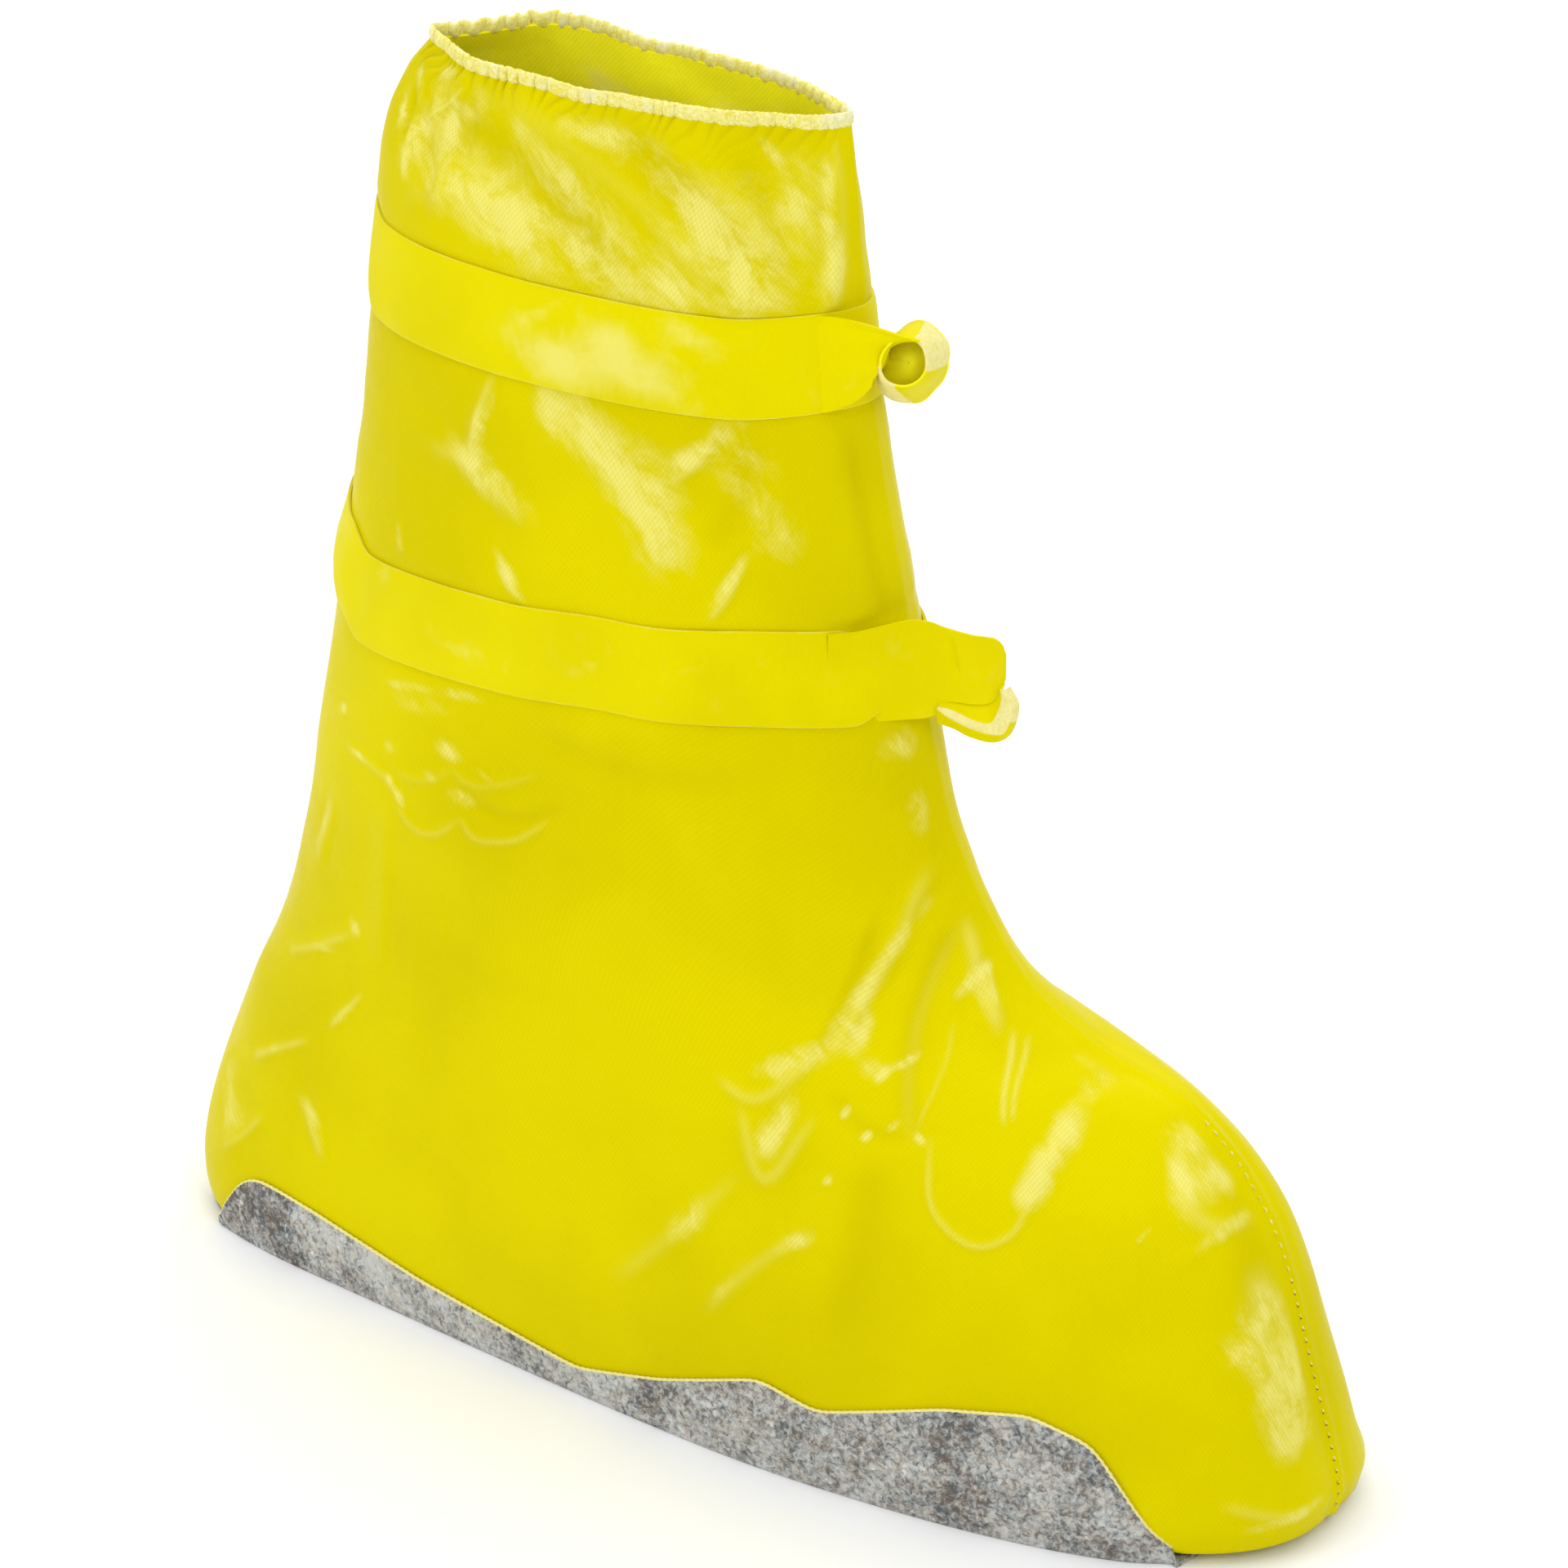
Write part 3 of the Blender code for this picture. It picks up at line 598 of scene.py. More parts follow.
def folded(x, z, folds):
    """Rise of the film at its creases, the painted highlight on their crests and the painted shade in their
    dips.
    """
    rise = np.zeros(x.shape)
    painted_crest = np.zeros(x.shape)
    painted_dip_shade = np.zeros(x.shape)
    for fold in folds:
        gap, share = fold_reach(x, z, fold)
        taper = eased(FOLD_END + FOLD_TAPER * share) * eased(FOLD_END + FOLD_TAPER * (1 - share))
        near = (gap / fold.width) ** 2
        rise += MM * fold.height * taper * (1 - near) * np.exp(-near)
        painted_crest = np.maximum(painted_crest, fold.line * taper * np.exp(-(gap / (CREST_WIDE * fold.width)) ** 2))
        if fold.height < 0:
            painted_dip_shade = np.maximum(painted_dip_shade, -DIP_SHADE * fold.height * taper * np.exp(-2 * near))
    return rise, painted_crest, painted_dip_shade


def flattened(x, z, flats):
    """Lean of the film at its flats, and the strength of the painted highlight on each."""
    lean = np.zeros(x.shape)
    painted_gleam = np.zeros(x.shape)
    for flat in flats:
        turn = math.radians(flat.turn)
        ahead, up = x - flat.x, z - flat.z
        far = ((ahead * math.cos(turn) + up * math.sin(turn)) / flat.long) ** 2
        far += ((up * math.cos(turn) - ahead * math.sin(turn)) / flat.wide) ** 2
        patch = flat.strength * np.exp(-far)
        lean -= MM * FLAT_LEAN * up * patch
        painted_gleam = 1 - (1 - painted_gleam) * (1 - patch)
    return lean, painted_gleam


def tied_in(points, along, rise, side):
    """Film under a strap lies flat, and swells a little just above and below it."""
    tables = (UPPER_STRAP, LOWER_STRAP) if side == NEAR else (UPPER_STRAP_FAR, LOWER_STRAP_FAR)
    for table in tables:
        away = np.abs(points[..., 2] - read_table(table, "height", along)) - TIE_WIDTH / 2
        free = fade(away, *TIED_FREE)
        beside = np.maximum(away - TIED_SWELL_FROM, 0.0) / TIED_SWELL_OUT
        rise = (rise + TIED_SWELL * beside * np.exp(1 - beside)) * free
    return rise


def film_rise(points, skin, side):
    """How far each point of a panel stands off the plain skin, and its painted highlight on flats and crests
    and painted shade in dips.
    """
    height = points[..., 2]
    x, z = points[..., 0] / MM, height / MM
    travel = skin.travel
    from_seam = np.minimum(travel, travel[:, -1:] - travel)
    own = fade(from_seam, *FOLDS_FROM_SEAM)
    folds, flats = (NEAR_FOLDS, NEAR_FLATS) if side == NEAR else (FAR_FOLDS, FAR_FLATS)
    rise, painted_crest, painted_dip_shade = folded(x, z, folds)
    lean, painted_gleam = flattened(x, z, flats)
    depth = MM * read_table(UNEVENNESS, "depth", z) * (1 - TOE_SMOOTH * fade(x, *TOE_SMOOTH_OVER))
    fine = FINE_LEVEL - np.abs(noise_at(points, *FINE))
    crinkle = CRINKLE_LEVEL - np.abs(noise_at(points, *CRINKLE))
    rise = (rise + lean + CRINKLE_DEPTH * crinkle * painted_gleam) * own
    rise += depth * (noise_at(points, *BROAD) + FINE_SHARE * fine)
    rise = tied_in(points, skin.along, rise, side)
    gathered = np.exp((height - COLLAR) / GATHER_FADE)
    wander = noise_at(points, GATHER_WANDER.size, (side, *GATHER_WANDER.shift))
    pleat = np.abs(np.sin(math.pi * travel / GATHER_PITCH + GATHER_SWAY * wander)) - GATHER_LEVEL
    rise += GATHER_DEPTH * pleat * (GATHER_MEAN + GATHER_UNEVEN * wander) * gathered * own
    # Painted shade in the hollows of the gathers
    painted_dip_shade = np.maximum(painted_dip_shade, eased(-GATHER_SHADE * pleat) * gathered)
    rise *= fade(height - sole_rim(points[..., 0]), *ABOVE_RIM)
    seam = SEAM_RISE * fade(from_seam, SEAM_HALF, 0.0)
    seam -= SEAM_VALLEY * np.exp(-((from_seam - SEAM_VALLEY_AT) / SEAM_VALLEY_WIDE) ** 2)
    seam *= 1 - (1 - SHAFT_SEAM) * fade(height, *SHAFT_SEAM_OVER)
    rise += seam * fade(height, *SEAM_FOOT)
    return rise, painted_gleam * own, painted_crest * own, painted_dip_shade * own


def far_toe(points):
    """Share of its half width that the far side of the toe and instep keeps, where it lies flatter."""
    x, _, z = np.moveaxis(points, -1, 0)
    return 1 - TOE_FAR_FLAT * fade(x, *TOE_FAR_AHEAD) * fade(z, *TOE_FAR_TOP) * fade(z, *TOE_FAR_FOOT)


def pinched(points, along, side):
    """Skin drawn flatter at the collar's ends and in under the heel; the far side opens and lies flatter."""
    x, _, z = np.moveaxis(points, -1, 0)
    high = fade(z, PINCH_FROM, HEIGHT)
    ends = fade(np.minimum(along, 1 - along), PINCH_SHARE, 0.0)
    moved = points.copy()
    moved[..., 1] *= 1 - PINCH * ends * high
    moved[..., 0] += COLLAR_BACK_IN * fade(along, COLLAR_BACK_SHARE, 0.0) * fade(z, *COLLAR_BACK_OVER)
    moved[..., 0] += HEEL_IN * fade(z, HEEL_IN_TOP, 0.0) * fade(x, HEEL_IN_AHEAD, 0.0)
    if side == FAR:
        opened = (1 - ends) * high
        moved[..., 1] -= COLLAR_FAR_OUT * opened * (COLLAR_FAR_MOST - along)
        moved[..., 2] += COLLAR_FAR_UP * opened * (1 - COLLAR_FAR_DROP * fade(along, *COLLAR_FAR_DROP_OVER))
        moved[..., 1] *= far_toe(points)
    return moved


def lowest_near(field, reach):
    """Lowest value of a grid within a few rows and columns of each of its points."""
    for axis in (0, 1):
        count = field.shape[axis]
        wide = np.pad(field, [(reach, reach) if k == axis else (0, 0) for k in (0, 1)], mode="edge")
        shifted = [wide.take(range(start, start + count), axis) for start in range(2 * reach + 1)]
        field = np.min(shifted, axis=0)
    return field


def panel_grid(skin, side):
    """Creased outside of one side panel, its normals, how far it stands over the lowest places near by,
    and its painted highlight on flats and crests and its painted shade in dips."""
    near = pinched(skin.points, skin.along, side)
    normals = grid_normals(near)
    normals[:, (0, -1), 1] = 0.0
    mirror = (1, -side, 1)
    normals = unit(normals) * mirror
    plain = near * mirror
    rise, painted_gleam, painted_crest, painted_dip_shade = film_rise(plain, skin, side)
    outer = plain + normals * rise[..., None]
    wave = noise_at(plain * (1, 1, 0), *EDGE_WAVES)
    outer[..., 2] += EDGE_WAVE * wave * np.exp((plain[..., 2] - COLLAR) / EDGE_WAVE_FADE)
    reach_down = fade(plain[..., 0], *TOE_DOWN_OVER) * fade(plain[..., 2], TOE_DOWN_TOP, 0.0)
    outer[..., 2] -= SOLE_THICK * reach_down
    return outer, normals, rise - lowest_near(rise, INSIDE_SHARE), painted_gleam, painted_crest, painted_dip_shade


def grain_of(points, travel):
    """Place of each point on the cloth before it was sewn, in metres, for the embossed grain."""
    middle = travel.shape[1] // 2
    return np.stack([travel - travel[:, middle:middle + 1], travelled(points)], axis=-1)


def grid_faces(rows, columns, start=0, wrap=False):
    """Quads of a grid of vertices, facing the way that grid_normals points."""
    index = start + np.arange(rows * columns).reshape(rows, columns)
    after = np.roll(index, -1, axis=1) if wrap else index[:, 1:]
    here = index if wrap else index[:, :-1]
    quads = np.stack([here[:-1], after[:-1], after[1:], here[1:]], axis=-1)
    return quads.reshape(-1, 4).tolist()


def border(rows, columns, start=0):
    """Vertices round the edge of a grid, in one loop."""
    index = start + np.arange(rows * columns).reshape(rows, columns)
    return np.concatenate([index[0, :-1], index[:-1, -1], index[-1, :0:-1], index[:0:-1, 0]]).tolist()


def stitch_edges(fine, coarse):
    """Faces between a loop and one that has a vertex for every few of its own."""
    faces = []
    step = len(fine) // len(coarse)
    for k in range(len(coarse)):
        here, after = coarse[k], coarse[(k + 1) % len(coarse)]
        for j in range(step):
            first, second = fine[k * step + j], fine[(k * step + j + 1) % len(fine)]
            faces.append((second, first, here if j < step // 2 else after))
        faces.append((fine[k * step + step // 2], here, after))
    return faces


def add_piece(name, vertices, faces, materials, replaced=(), grain=None, values=None, second=None):
    """A smooth-shaded piece on the frame's body. second marks the faces that take the second material."""
    mesh = bpy.data.meshes.new(name)
    placed = np.asarray(vertices, float) + (HEEL_X, 0.0, 0.0)
    mesh.from_pydata(placed.tolist(), [], faces)
    for material in materials:
        mesh.materials.append(material)
    if second is not None:
        mesh.polygons.foreach_set("material_index", np.asarray(second, np.int32))
    if grain is not None:
        corners = np.zeros(len(mesh.loops), np.int32)
        mesh.loops.foreach_get("vertex_index", corners)
        layer = mesh.uv_layers.new(name="grain")
        layer.data.foreach_set("uv", np.asarray(grain, np.float32)[corners].ravel())
    for key, value in (values or {}).items():
        mesh.attributes.new(key, "FLOAT", "POINT").data.foreach_set("value", np.asarray(value, np.float32))
    mesh.shade_smooth()
    mesh.set_sharp_from_angle(angle=SHARP_ANGLE)
    piece = linked(name, mesh)
    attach(piece, "root")
    if replaced:
        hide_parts(*replaced)


def add_panel(panel, material, replaced=()):
    """One panel of the upper: a closed shell of film, finer outside than inside."""
    skin = HalfSkin(even_places(panel.rows + 1, panel.low, panel.high), panel.columns)
    outer, normals, over, painted_gleam, painted_crest, painted_dip_shade = panel_grid(skin, panel.side)
    every = (slice(None, None, INSIDE_SHARE), slice(None, None, INSIDE_SHARE))
    inner = outer[every] - (FILM + over[every])[..., None] * normals[every]
    rows, columns = outer.shape[:2]
    count = rows * columns
    faces = grid_faces(rows, columns)
    faces += [face[::-1] for face in grid_faces(*inner.shape[:2], start=count)]
    faces += stitch_edges(border(rows, columns), border(*inner.shape[:2], start=count))
    if panel.side == FAR:
        faces = [face[::-1] for face in faces]
    grain = grain_of(skin.points, skin.travel)
    grain = np.concatenate([grain.reshape(-1, 2), grain[every].reshape(-1, 2)])
    # Patches of painted highlight on the inside faces; the outside carries the flats' painted highlight
    inside_painted_gleam = INSIDE_PAINTED_GLEAM + INSIDE_PATCHY * noise_at(inner, *INSIDE_PATCHES)
    values = {"painted_gleam": np.concatenate([painted_gleam.ravel(), inside_painted_gleam.ravel()])}
    # Inside faces are marked for their brighter painted-light colour, and take no painted crests or shade
    for key, field, within in (("painted_crest", painted_crest, 0.0), ("painted_dip_shade", painted_dip_shade, 0.0), ("inside", 0 * painted_dip_shade, 1.0)):
        values[key] = np.concatenate([field.ravel(), np.full(inside_painted_gleam.size, within)])
    vertices = np.concatenate([outer.reshape(-1, 3), inner.reshape(-1, 3)])
    add_piece(panel.name, vertices, faces, [material], replaced, grain, values)
    return outer, normals


def ribbon(rows, thickness, wrap=False):
    """Closed thin sheet through rows of points: vertices, faces and which faces are on its back."""
    middle = np.asarray(rows, float)
    normals = grid_normals(middle, wrap)
    count_rows, count = middle.shape[:2]
    front = middle + normals * thickness / 2
    back = middle - normals * thickness / 2
    size = count_rows * count
    faces = grid_faces(count_rows, count, 0, wrap)
    marks = [0] * len(faces)
    rear = [face[::-1] for face in grid_faces(count_rows, count, size, wrap)]
    faces += rear
    marks += [1] * len(rear)
    if wrap:
        loops = [list(range(count)), list(range(size - 1, size - count - 1, -1))]
    else:
        loops = [border(count_rows, count)]
    for loop in loops:
        after = loop[1:] + loop[:1]
        faces += [(b, a, a + size, b + size) for a, b in zip(loop, after)]
        marks += [0] * len(loop)
    return np.concatenate([front.reshape(-1, 3), back.reshape(-1, 3)]), faces, marks


def face_places(faces, rows):
    """Row and column of a ribbon's grid at the first corner of each of its faces."""
    first = np.array([face[0] for face in faces]) % rows[..., 0].size
    return np.divmod(first, rows.shape[1])


def flat_grain(rows):
    """Place on a ribbon in metres, for its grain, on both of its faces."""
    rows = np.asarray(rows, float)
    along, up = (travelled(way).mean(axis=1) for way in (rows.swapaxes(0, 1), rows))
    grid = np.stack(np.meshgrid(along, up), axis=-1).reshape(-1, 2)
    return np.concatenate([grid, grid])


def slack_across(across):
    """Share of a strap's slack from its lower edge, -1, to its top edge, 1: it hangs out lowest down."""
    return SLACK_AT_EDGE + (1 - SLACK_AT_EDGE) * fade(across, *SLACK_GROWS) - fade(across, *SLACK_ENDS)


def add_strap(name, skin, tables, material, shift):
    """Flat strap lying round the shaft, a little uneven."""
    along = skin.share(tables[0][-1].height)
    rows = []
    for across in np.sin(np.linspace(-0.5, 0.5, STRAP_ROWS + 1) * math.pi):
        halves = []
        for table in tables:
            half = read_table(table, "wide", along) * TIE_WIDTH / 2
            heights = read_table(table, "height", along) + across * half
            slack = read_table(table, "stand_off", along) - GAP
            turned_in = STRAP_EDGE_IN * abs(across) ** STRAP_EDGE_TURN
            halves.append(skin.at(heights, GAP + slack * slack_across(across) + TIE_THICK / 2 - turned_in))
        rows.append(whole_loop(*halves))
    rows = np.array(rows)
    swell = STRAP_SWELL * (STRAP_SWELL_LEVEL + noise_at(rows, STRAP_SWELL_SIZE, shift))
    rows += grid_normals(rows, wrap=True) * swell[..., None]
    rows[..., 2] += STRAP_WAVE * noise_at(rows * (1, 1, 0), STRAP_WAVE_SIZE, shift)
    vertices, faces, _ = ribbon(rows, TIE_THICK, wrap=True)
    # Painted highlight on the strap's near side from its flats, and all round along its top and lower edges
    painted_gleam = flattened(rows[..., 0] / MM, rows[..., 2] / MM, STRAP_FLATS)[1] * (rows[..., 1] < 0)
    painted_gleam[[0, -1]] = STRAP_EDGE_PAINTED_GLEAM
    add_piece(name + "_ribbon", vertices, faces, [material], (name,), flat_grain(rows),
              {"painted_gleam": np.tile(painted_gleam.ravel(), 2)})


def sole_outline(skin):
    """How many of the skin's columns stand beside the sole, and how far aside the last of them is."""
    foot = skin.at(np.zeros(skin.points.shape[1]), GAP + SOLE_THICK)
    front = SOLE_FRONT - SOLE_FRONT_SWEEP * (foot[:, 1] / HALF_WIDTH) ** 2
    keep = int(np.argmax((foot[:, 0] > front) & (foot[:, 0] > LENGTH / 2)))
    return keep, foot[keep - 1, 1]


def add_sole(skin, material):
    """Soft tray with a wavy rim, tucked under the heel, with a shallow arc in front. Gives back the rim."""
    keep, arc_y = sole_outline(skin)
    arc = np.linspace(arc_y, 0.0, SOLE_ARC_STEPS + 1)[1:]
    arc_x = SOLE_FRONT - SOLE_FRONT_SWEEP * (arc / HALF_WIDTH) ** 2
    rim = sole_rim(skin.points[0, :, 0])
    for _ in range(2):
        rim = sole_rim(skin.at(rim, 0.0)[:, 0])
    tucked = 1 - fade(skin.points[0, :, 0], *HEEL_TUCK_OVER)
    rim = rim + (FLAT_RIM - rim) * tucked
    inset = HEEL_TUCK * eased(2 * tucked - 1) + TOE_TUCK * fade(skin.points[0, :, 0], *TOE_TUCK_OVER)

    def row(share, offset, floor):
        heights = floor + (rim - floor) * share
        beside = skin.at(heights, offset - inset)[:keep]
        arc_z = np.full(len(arc), floor + (FLAT_RIM - floor) * share)
        return whole_loop(np.concatenate([beside, np.stack([arc_x, arc, arc_z], axis=1)]))

    shares = np.linspace(0.0, 1.0, SOLE_LEVELS + 1)
    rounding = SOLE_ROUND * (1 - shares) ** SOLE_ROUND_TURN
    outside = [row(share, GAP + SOLE_THICK - back, 0.0) for share, back in zip(shares, rounding)]
    inside = [row(share, GAP, SOLE_THICK) for share in shares[::-1]]
    loops = np.array(outside + inside)
    loops[..., 1] *= np.where(loops[..., 1] > 0, far_toe(loops), 1.0)
    rows, columns = loops.shape[:2]
    faces = grid_faces(rows, columns, wrap=True)
    bottom = list(range(columns))
    top = list(range((rows - 1) * columns, rows * columns))
    faces += [face[::-1] for face in plate(bottom)] + plate(top)
    add_piece("sole_felt", loops.reshape(-1, 3), faces, [material], ("sole",))
    edge = row(1.0, GAP + SOLE_THICK / 2, 0.0)[:keep]
    far_edge = edge * (1, -1, 1)
    far_edge[:, 1] *= far_toe(far_edge)
    return np.concatenate([edge[:0:-1], far_edge])


def plate(loop):
    """Strips across a loop from each column to its mirror image."""
    half = len(loop) // 2
    far = [loop[-k % len(loop)] for k in range(half + 1)]
    faces = [(loop[0], loop[1], far[1])]
    faces += [(loop[k], loop[k + 1], far[k + 1], far[k]) for k in range(1, half - 1)]
    return faces + [(loop[half - 1], loop[half], far[half - 1])]


def even_path(points, step, closed=False):
    """Points at even steps along a path."""
    points = np.asarray(points, float)
    if closed:
        points = np.concatenate([points, points[:1]])
    travel = travelled(points)
    count = max(int(round(travel[-1] / step)), 2)
    stops = np.linspace(0.0, travel[-1], count + 1)
    found = np.stack([np.interp(stops, travel, points[:, axis]) for axis in range(3)], axis=1)
    return (found[:-1], stops[:-1]) if closed else (found, stops)


def capped(rings):
    """Faces of a tube from one ring to the next, with a cap at each end."""
    count, sides = rings.shape[:2]
    last = (count - 1) * sides
    caps = [list(range(sides))[::-1], list(range(last, last + sides))]
    return grid_faces(count, sides, wrap=True) + caps


def tube(path, radius, sides):
    """Closed round tube along a path, with a radius for each of its rings and sides."""
    forward = unit(np.gradient(path, axis=0))
    aside = unit(np.cross(forward, (0.0, 0.0, 1.0)))
    above = np.cross(aside, forward)
    angle = 2 * math.pi * np.arange(sides) / sides
    ring = np.cos(angle)[None, :, None] * aside[:, None] + np.sin(angle)[None, :, None] * above[:, None]
    points = path[:, None] + ring * np.broadcast_to(radius, ring.shape[:2])[..., None]
    return points.reshape(-1, 3), capped(points)


def add_edge_thread(rim, material):
    """Twisted thread sewn over the rim of the sole."""
    path, travel = even_path(rim, EDGE_STEP)
    angle = 2 * math.pi * np.arange(EDGE_SIDES) / EDGE_SIDES
    twist = np.sin(2 * math.pi * travel[:, None] / EDGE_TWIST + angle[None])
    vertices, faces = tube(path, EDGE_RADIUS * (1 + EDGE_TWIST_DEPTH * twist), EDGE_SIDES)
    add_piece("sole_edge_thread", vertices, faces, [material])


def add_hem(near, far, material):
    """Serged elastic collar: a soft band over the film's edge with slanting threads round it."""
    ring = np.concatenate([near[-1], far[-1, -2:0:-1]])
    length = travelled(np.concatenate([ring, ring[:1]]))[-1]
    path, travel = even_path(ring, length / HEM_STEPS, closed=True)
    forward = np.roll(path, -1, axis=0) - np.roll(path, 1, axis=0)
    outward = unit(np.stack([forward[:, 1], -forward[:, 0], np.zeros(len(path))], axis=1))
    level = path * (1, 1, 0)
    middle = path + outward * (HEM_SWAY * noise_at(level, *HEM_ASIDE) - FILM / 2)[:, None]
    middle[:, 2] += HEM_HALF_TALL - HEM_OVERLAP + HEM_SWAY * noise_at(level, *HEM_RISE)
    threads = max(int(length / THREAD_PITCH), 1)
    rows = []
    for k in range(HEM_ROUND):
        angle = 2 * math.pi * k / HEM_ROUND
        turn = 2 * math.pi * (threads * travel / length + THREAD_SLANT * math.sin(angle))
        uneven = THREAD_MEAN + THREAD_UNEVEN * noise_at(path, THREAD_SWELL, (k, 0, 0))
        lump = THREAD_DEPTH * (np.abs(np.sin(turn / 2)) - 0.5) * uneven
        side = (HEM_HALF_THICK + lump) * math.cos(angle)
        rise = (HEM_HALF_TALL + lump) * math.sin(angle)
        point = middle + outward * side[:, None]
        point[:, 2] += rise
        rows.append(point)
    rows = np.array(rows + rows[:1])
    faces = grid_faces(HEM_ROUND + 1, len(path), wrap=True)
    last = HEM_ROUND * len(path)
    faces = [[v - last if v >= last else v for v in face] for face in faces]
    add_piece("collar_serging", rows[:-1].reshape(-1, 3), faces, [material], ("collar_hem",))


def add_stitches(outer, normals, material):
    """Short stitches along the near side of the front seam, from the toe up on to the instep."""
    vertices, faces = [], []
    column = outer.shape[1] - 1 - STITCH_COLUMN
    path, _ = even_path(outer[:, column], STITCH_PITCH)
    for k in range(2, len(path) - 2):
        if path[k][2] < STITCH_LOW or path[k][2] > STITCH_HIGH:
            continue
        along = unit(path[k + 1] - path[k - 1])
        nearest = int(np.argmin(np.linalg.norm(outer[:, column] - path[k], axis=1)))
        points, quads = tube(*stitch_path(path[k], along, normals[nearest, column]), STITCH_SIDES)
        faces += [[v + len(vertices) for v in quad] for quad in quads]
        vertices += points.tolist()
    add_piece("seam_stitches", vertices, faces, [material])


def stitch_path(point, along, outward):
    """Bowed line of one stitch and the radius of its rings."""
    shares = np.linspace(-1.0, 1.0, STITCH_POINTS)
    path = point + np.outer(shares * STITCH_LONG / 2, along)
    path = path + np.outer(STITCH_RADIUS * (STITCH_OUT - STITCH_BOW * shares ** 2), outward)
    return path, (STITCH_RADIUS * np.sqrt(STITCH_BLUNT - shares ** 2))[:, None]


# Front knots: half sizes, and the pleats round them
UPPER_KNOT = (0.0035, 0.0060, 0.0042)
LOWER_KNOT = (0.0036, 0.0036, 0.0080)
KNOT_ROUND, KNOT_RINGS = 40, 24
KNOT_PLEATS, KNOT_SWIRL = 5, 4.0
KNOT_PLEAT_DEPTH, KNOT_PLEAT_LEVEL = 0.13, 0.6

# Curled loop of the upper tie: its middle from the strap's front, the way its mouth faces, and round it, by
# degrees from straight ahead, its radius at the mouth and at the far rim. Its back is closed by a floor, and
# its cream stretches, in degrees, slant from row to row.
LOOP_AT = (0.0147, -0.0020, 0.0010)
LOOP_TURN, LOOP_RISE = math.radians(16), math.radians(20)
LOOP_HALF, LOOP_FLARE = 0.0080, 0.8
LOOP_FLOOR_TO, LOOP_FLOOR_DEPTH = 0.985, 1.15
LOOP_UNEVEN, LOOP_SWELL = 0.0006, Swell(0.009, (2.0, 6.0, 1.0))
LOOP_STEPS, LOOP_ACROSS, LOOP_BACK = 120, 14, 8
Curl = namedtuple("Curl", "along mouth far")
LOOP_CURL = rows_of(Curl, (
    (-180, 0.0066, 0.0106), (-135, 0.0068, 0.0130), (-90, 0.0066, 0.0112), (-45, 0.0066, 0.0090),
    (0, 0.0066, 0.0088), (45, 0.0070, 0.0106), (90, 0.0066, 0.0114), (135, 0.0064, 0.0100),
    (180, 0.0066, 0.0098),
))
CREAM_HIGH = (-3, 80)
CREAM_LOW = (-158, -94)
CREAM_SLANT = 1.3

# Where the strap drawn into the loop ends round its mouth, from the strap's lower edge to its top edge, in
# millimetres ahead of the mouth's middle, above it and out of it
NECK_ENDS = (
    (-9.0, -7.6, -3.0),
    (-8.2, -5.4, -2.0),
    (-6.0, -2.4, -1.2),
    (-5.6, 0.5, -2.4),
    (-4.4, 3.9, -2.0),
    (-0.4, 5.9, -1.2),
    (4.4, 6.4, 0.3),
)
# It starts this far back and this deep in the strap, leaves along the strap and arrives turned up at its
# lower edge and curled into the mouth above, all but at its top edge
NECK_BACK, NECK_SUNK, NECK_WIDE = 0.0085, 0.0008, 0.985
NECK_RUN = (1.0, 0.35, 1.0)
NECK_LEAVES, NECK_ARRIVES = 0.50, 0.28
NECK_TURN_UP = 0.9
NECK_CURL, NECK_CURL_OVER = 0.9, (-0.6, -0.1)
NECK_UNCURL, NECK_UNCURL_OVER = 0.9, (0.4, 0.9)
NECK_STEPS, NECK_ROWS = 40, 30

# Top end of the lower tie, in millimetres: ahead of the strap's front, to the side, and its edges' heights
Tab = namedtuple("Tab", "ahead aside low high")
TAB = rows_of(Tab, (
    (2.0, -10.2, -13.2, 17.2), (7.5, -7.8, -12.2, 17.4), (11.2, -6.6, -10.0, 16.4),
    (13.5, -6.2, -6.6, 16.0), (17.0, -6.0, -5.8, 15.8), (21.0, -6.0, -5.3, 15.8), (25.0, -5.9, -4.4, 16.2),
    (28.3, -5.6, -2.8, 16.3), (30.6, -5.3, 0.4, 14.8), (31.8, -5.0, 4.6, 11.8),
))
# It starts at two places on the strap: how far back in metres, then how far its top edge is lifted there and
# how deep it is sunk, in millimetres. It is a little narrower there than the strap. One crease runs down it.
TAB_BACK = ((0.016, 0.0, 0.8), (0.009, 0.6, 0.0))
TAB_NARROW = 0.3
TAB_CREASE = ((13.6, 16.0), (15.4, 8.0), (17.0, 1.0))
TAB_CREASE_DEPTH, TAB_CREASE_WIDE, TAB_CREASE_TAPER = 0.9, 1.1, 3
TAB_STEPS, TAB_ROWS = 90, 30

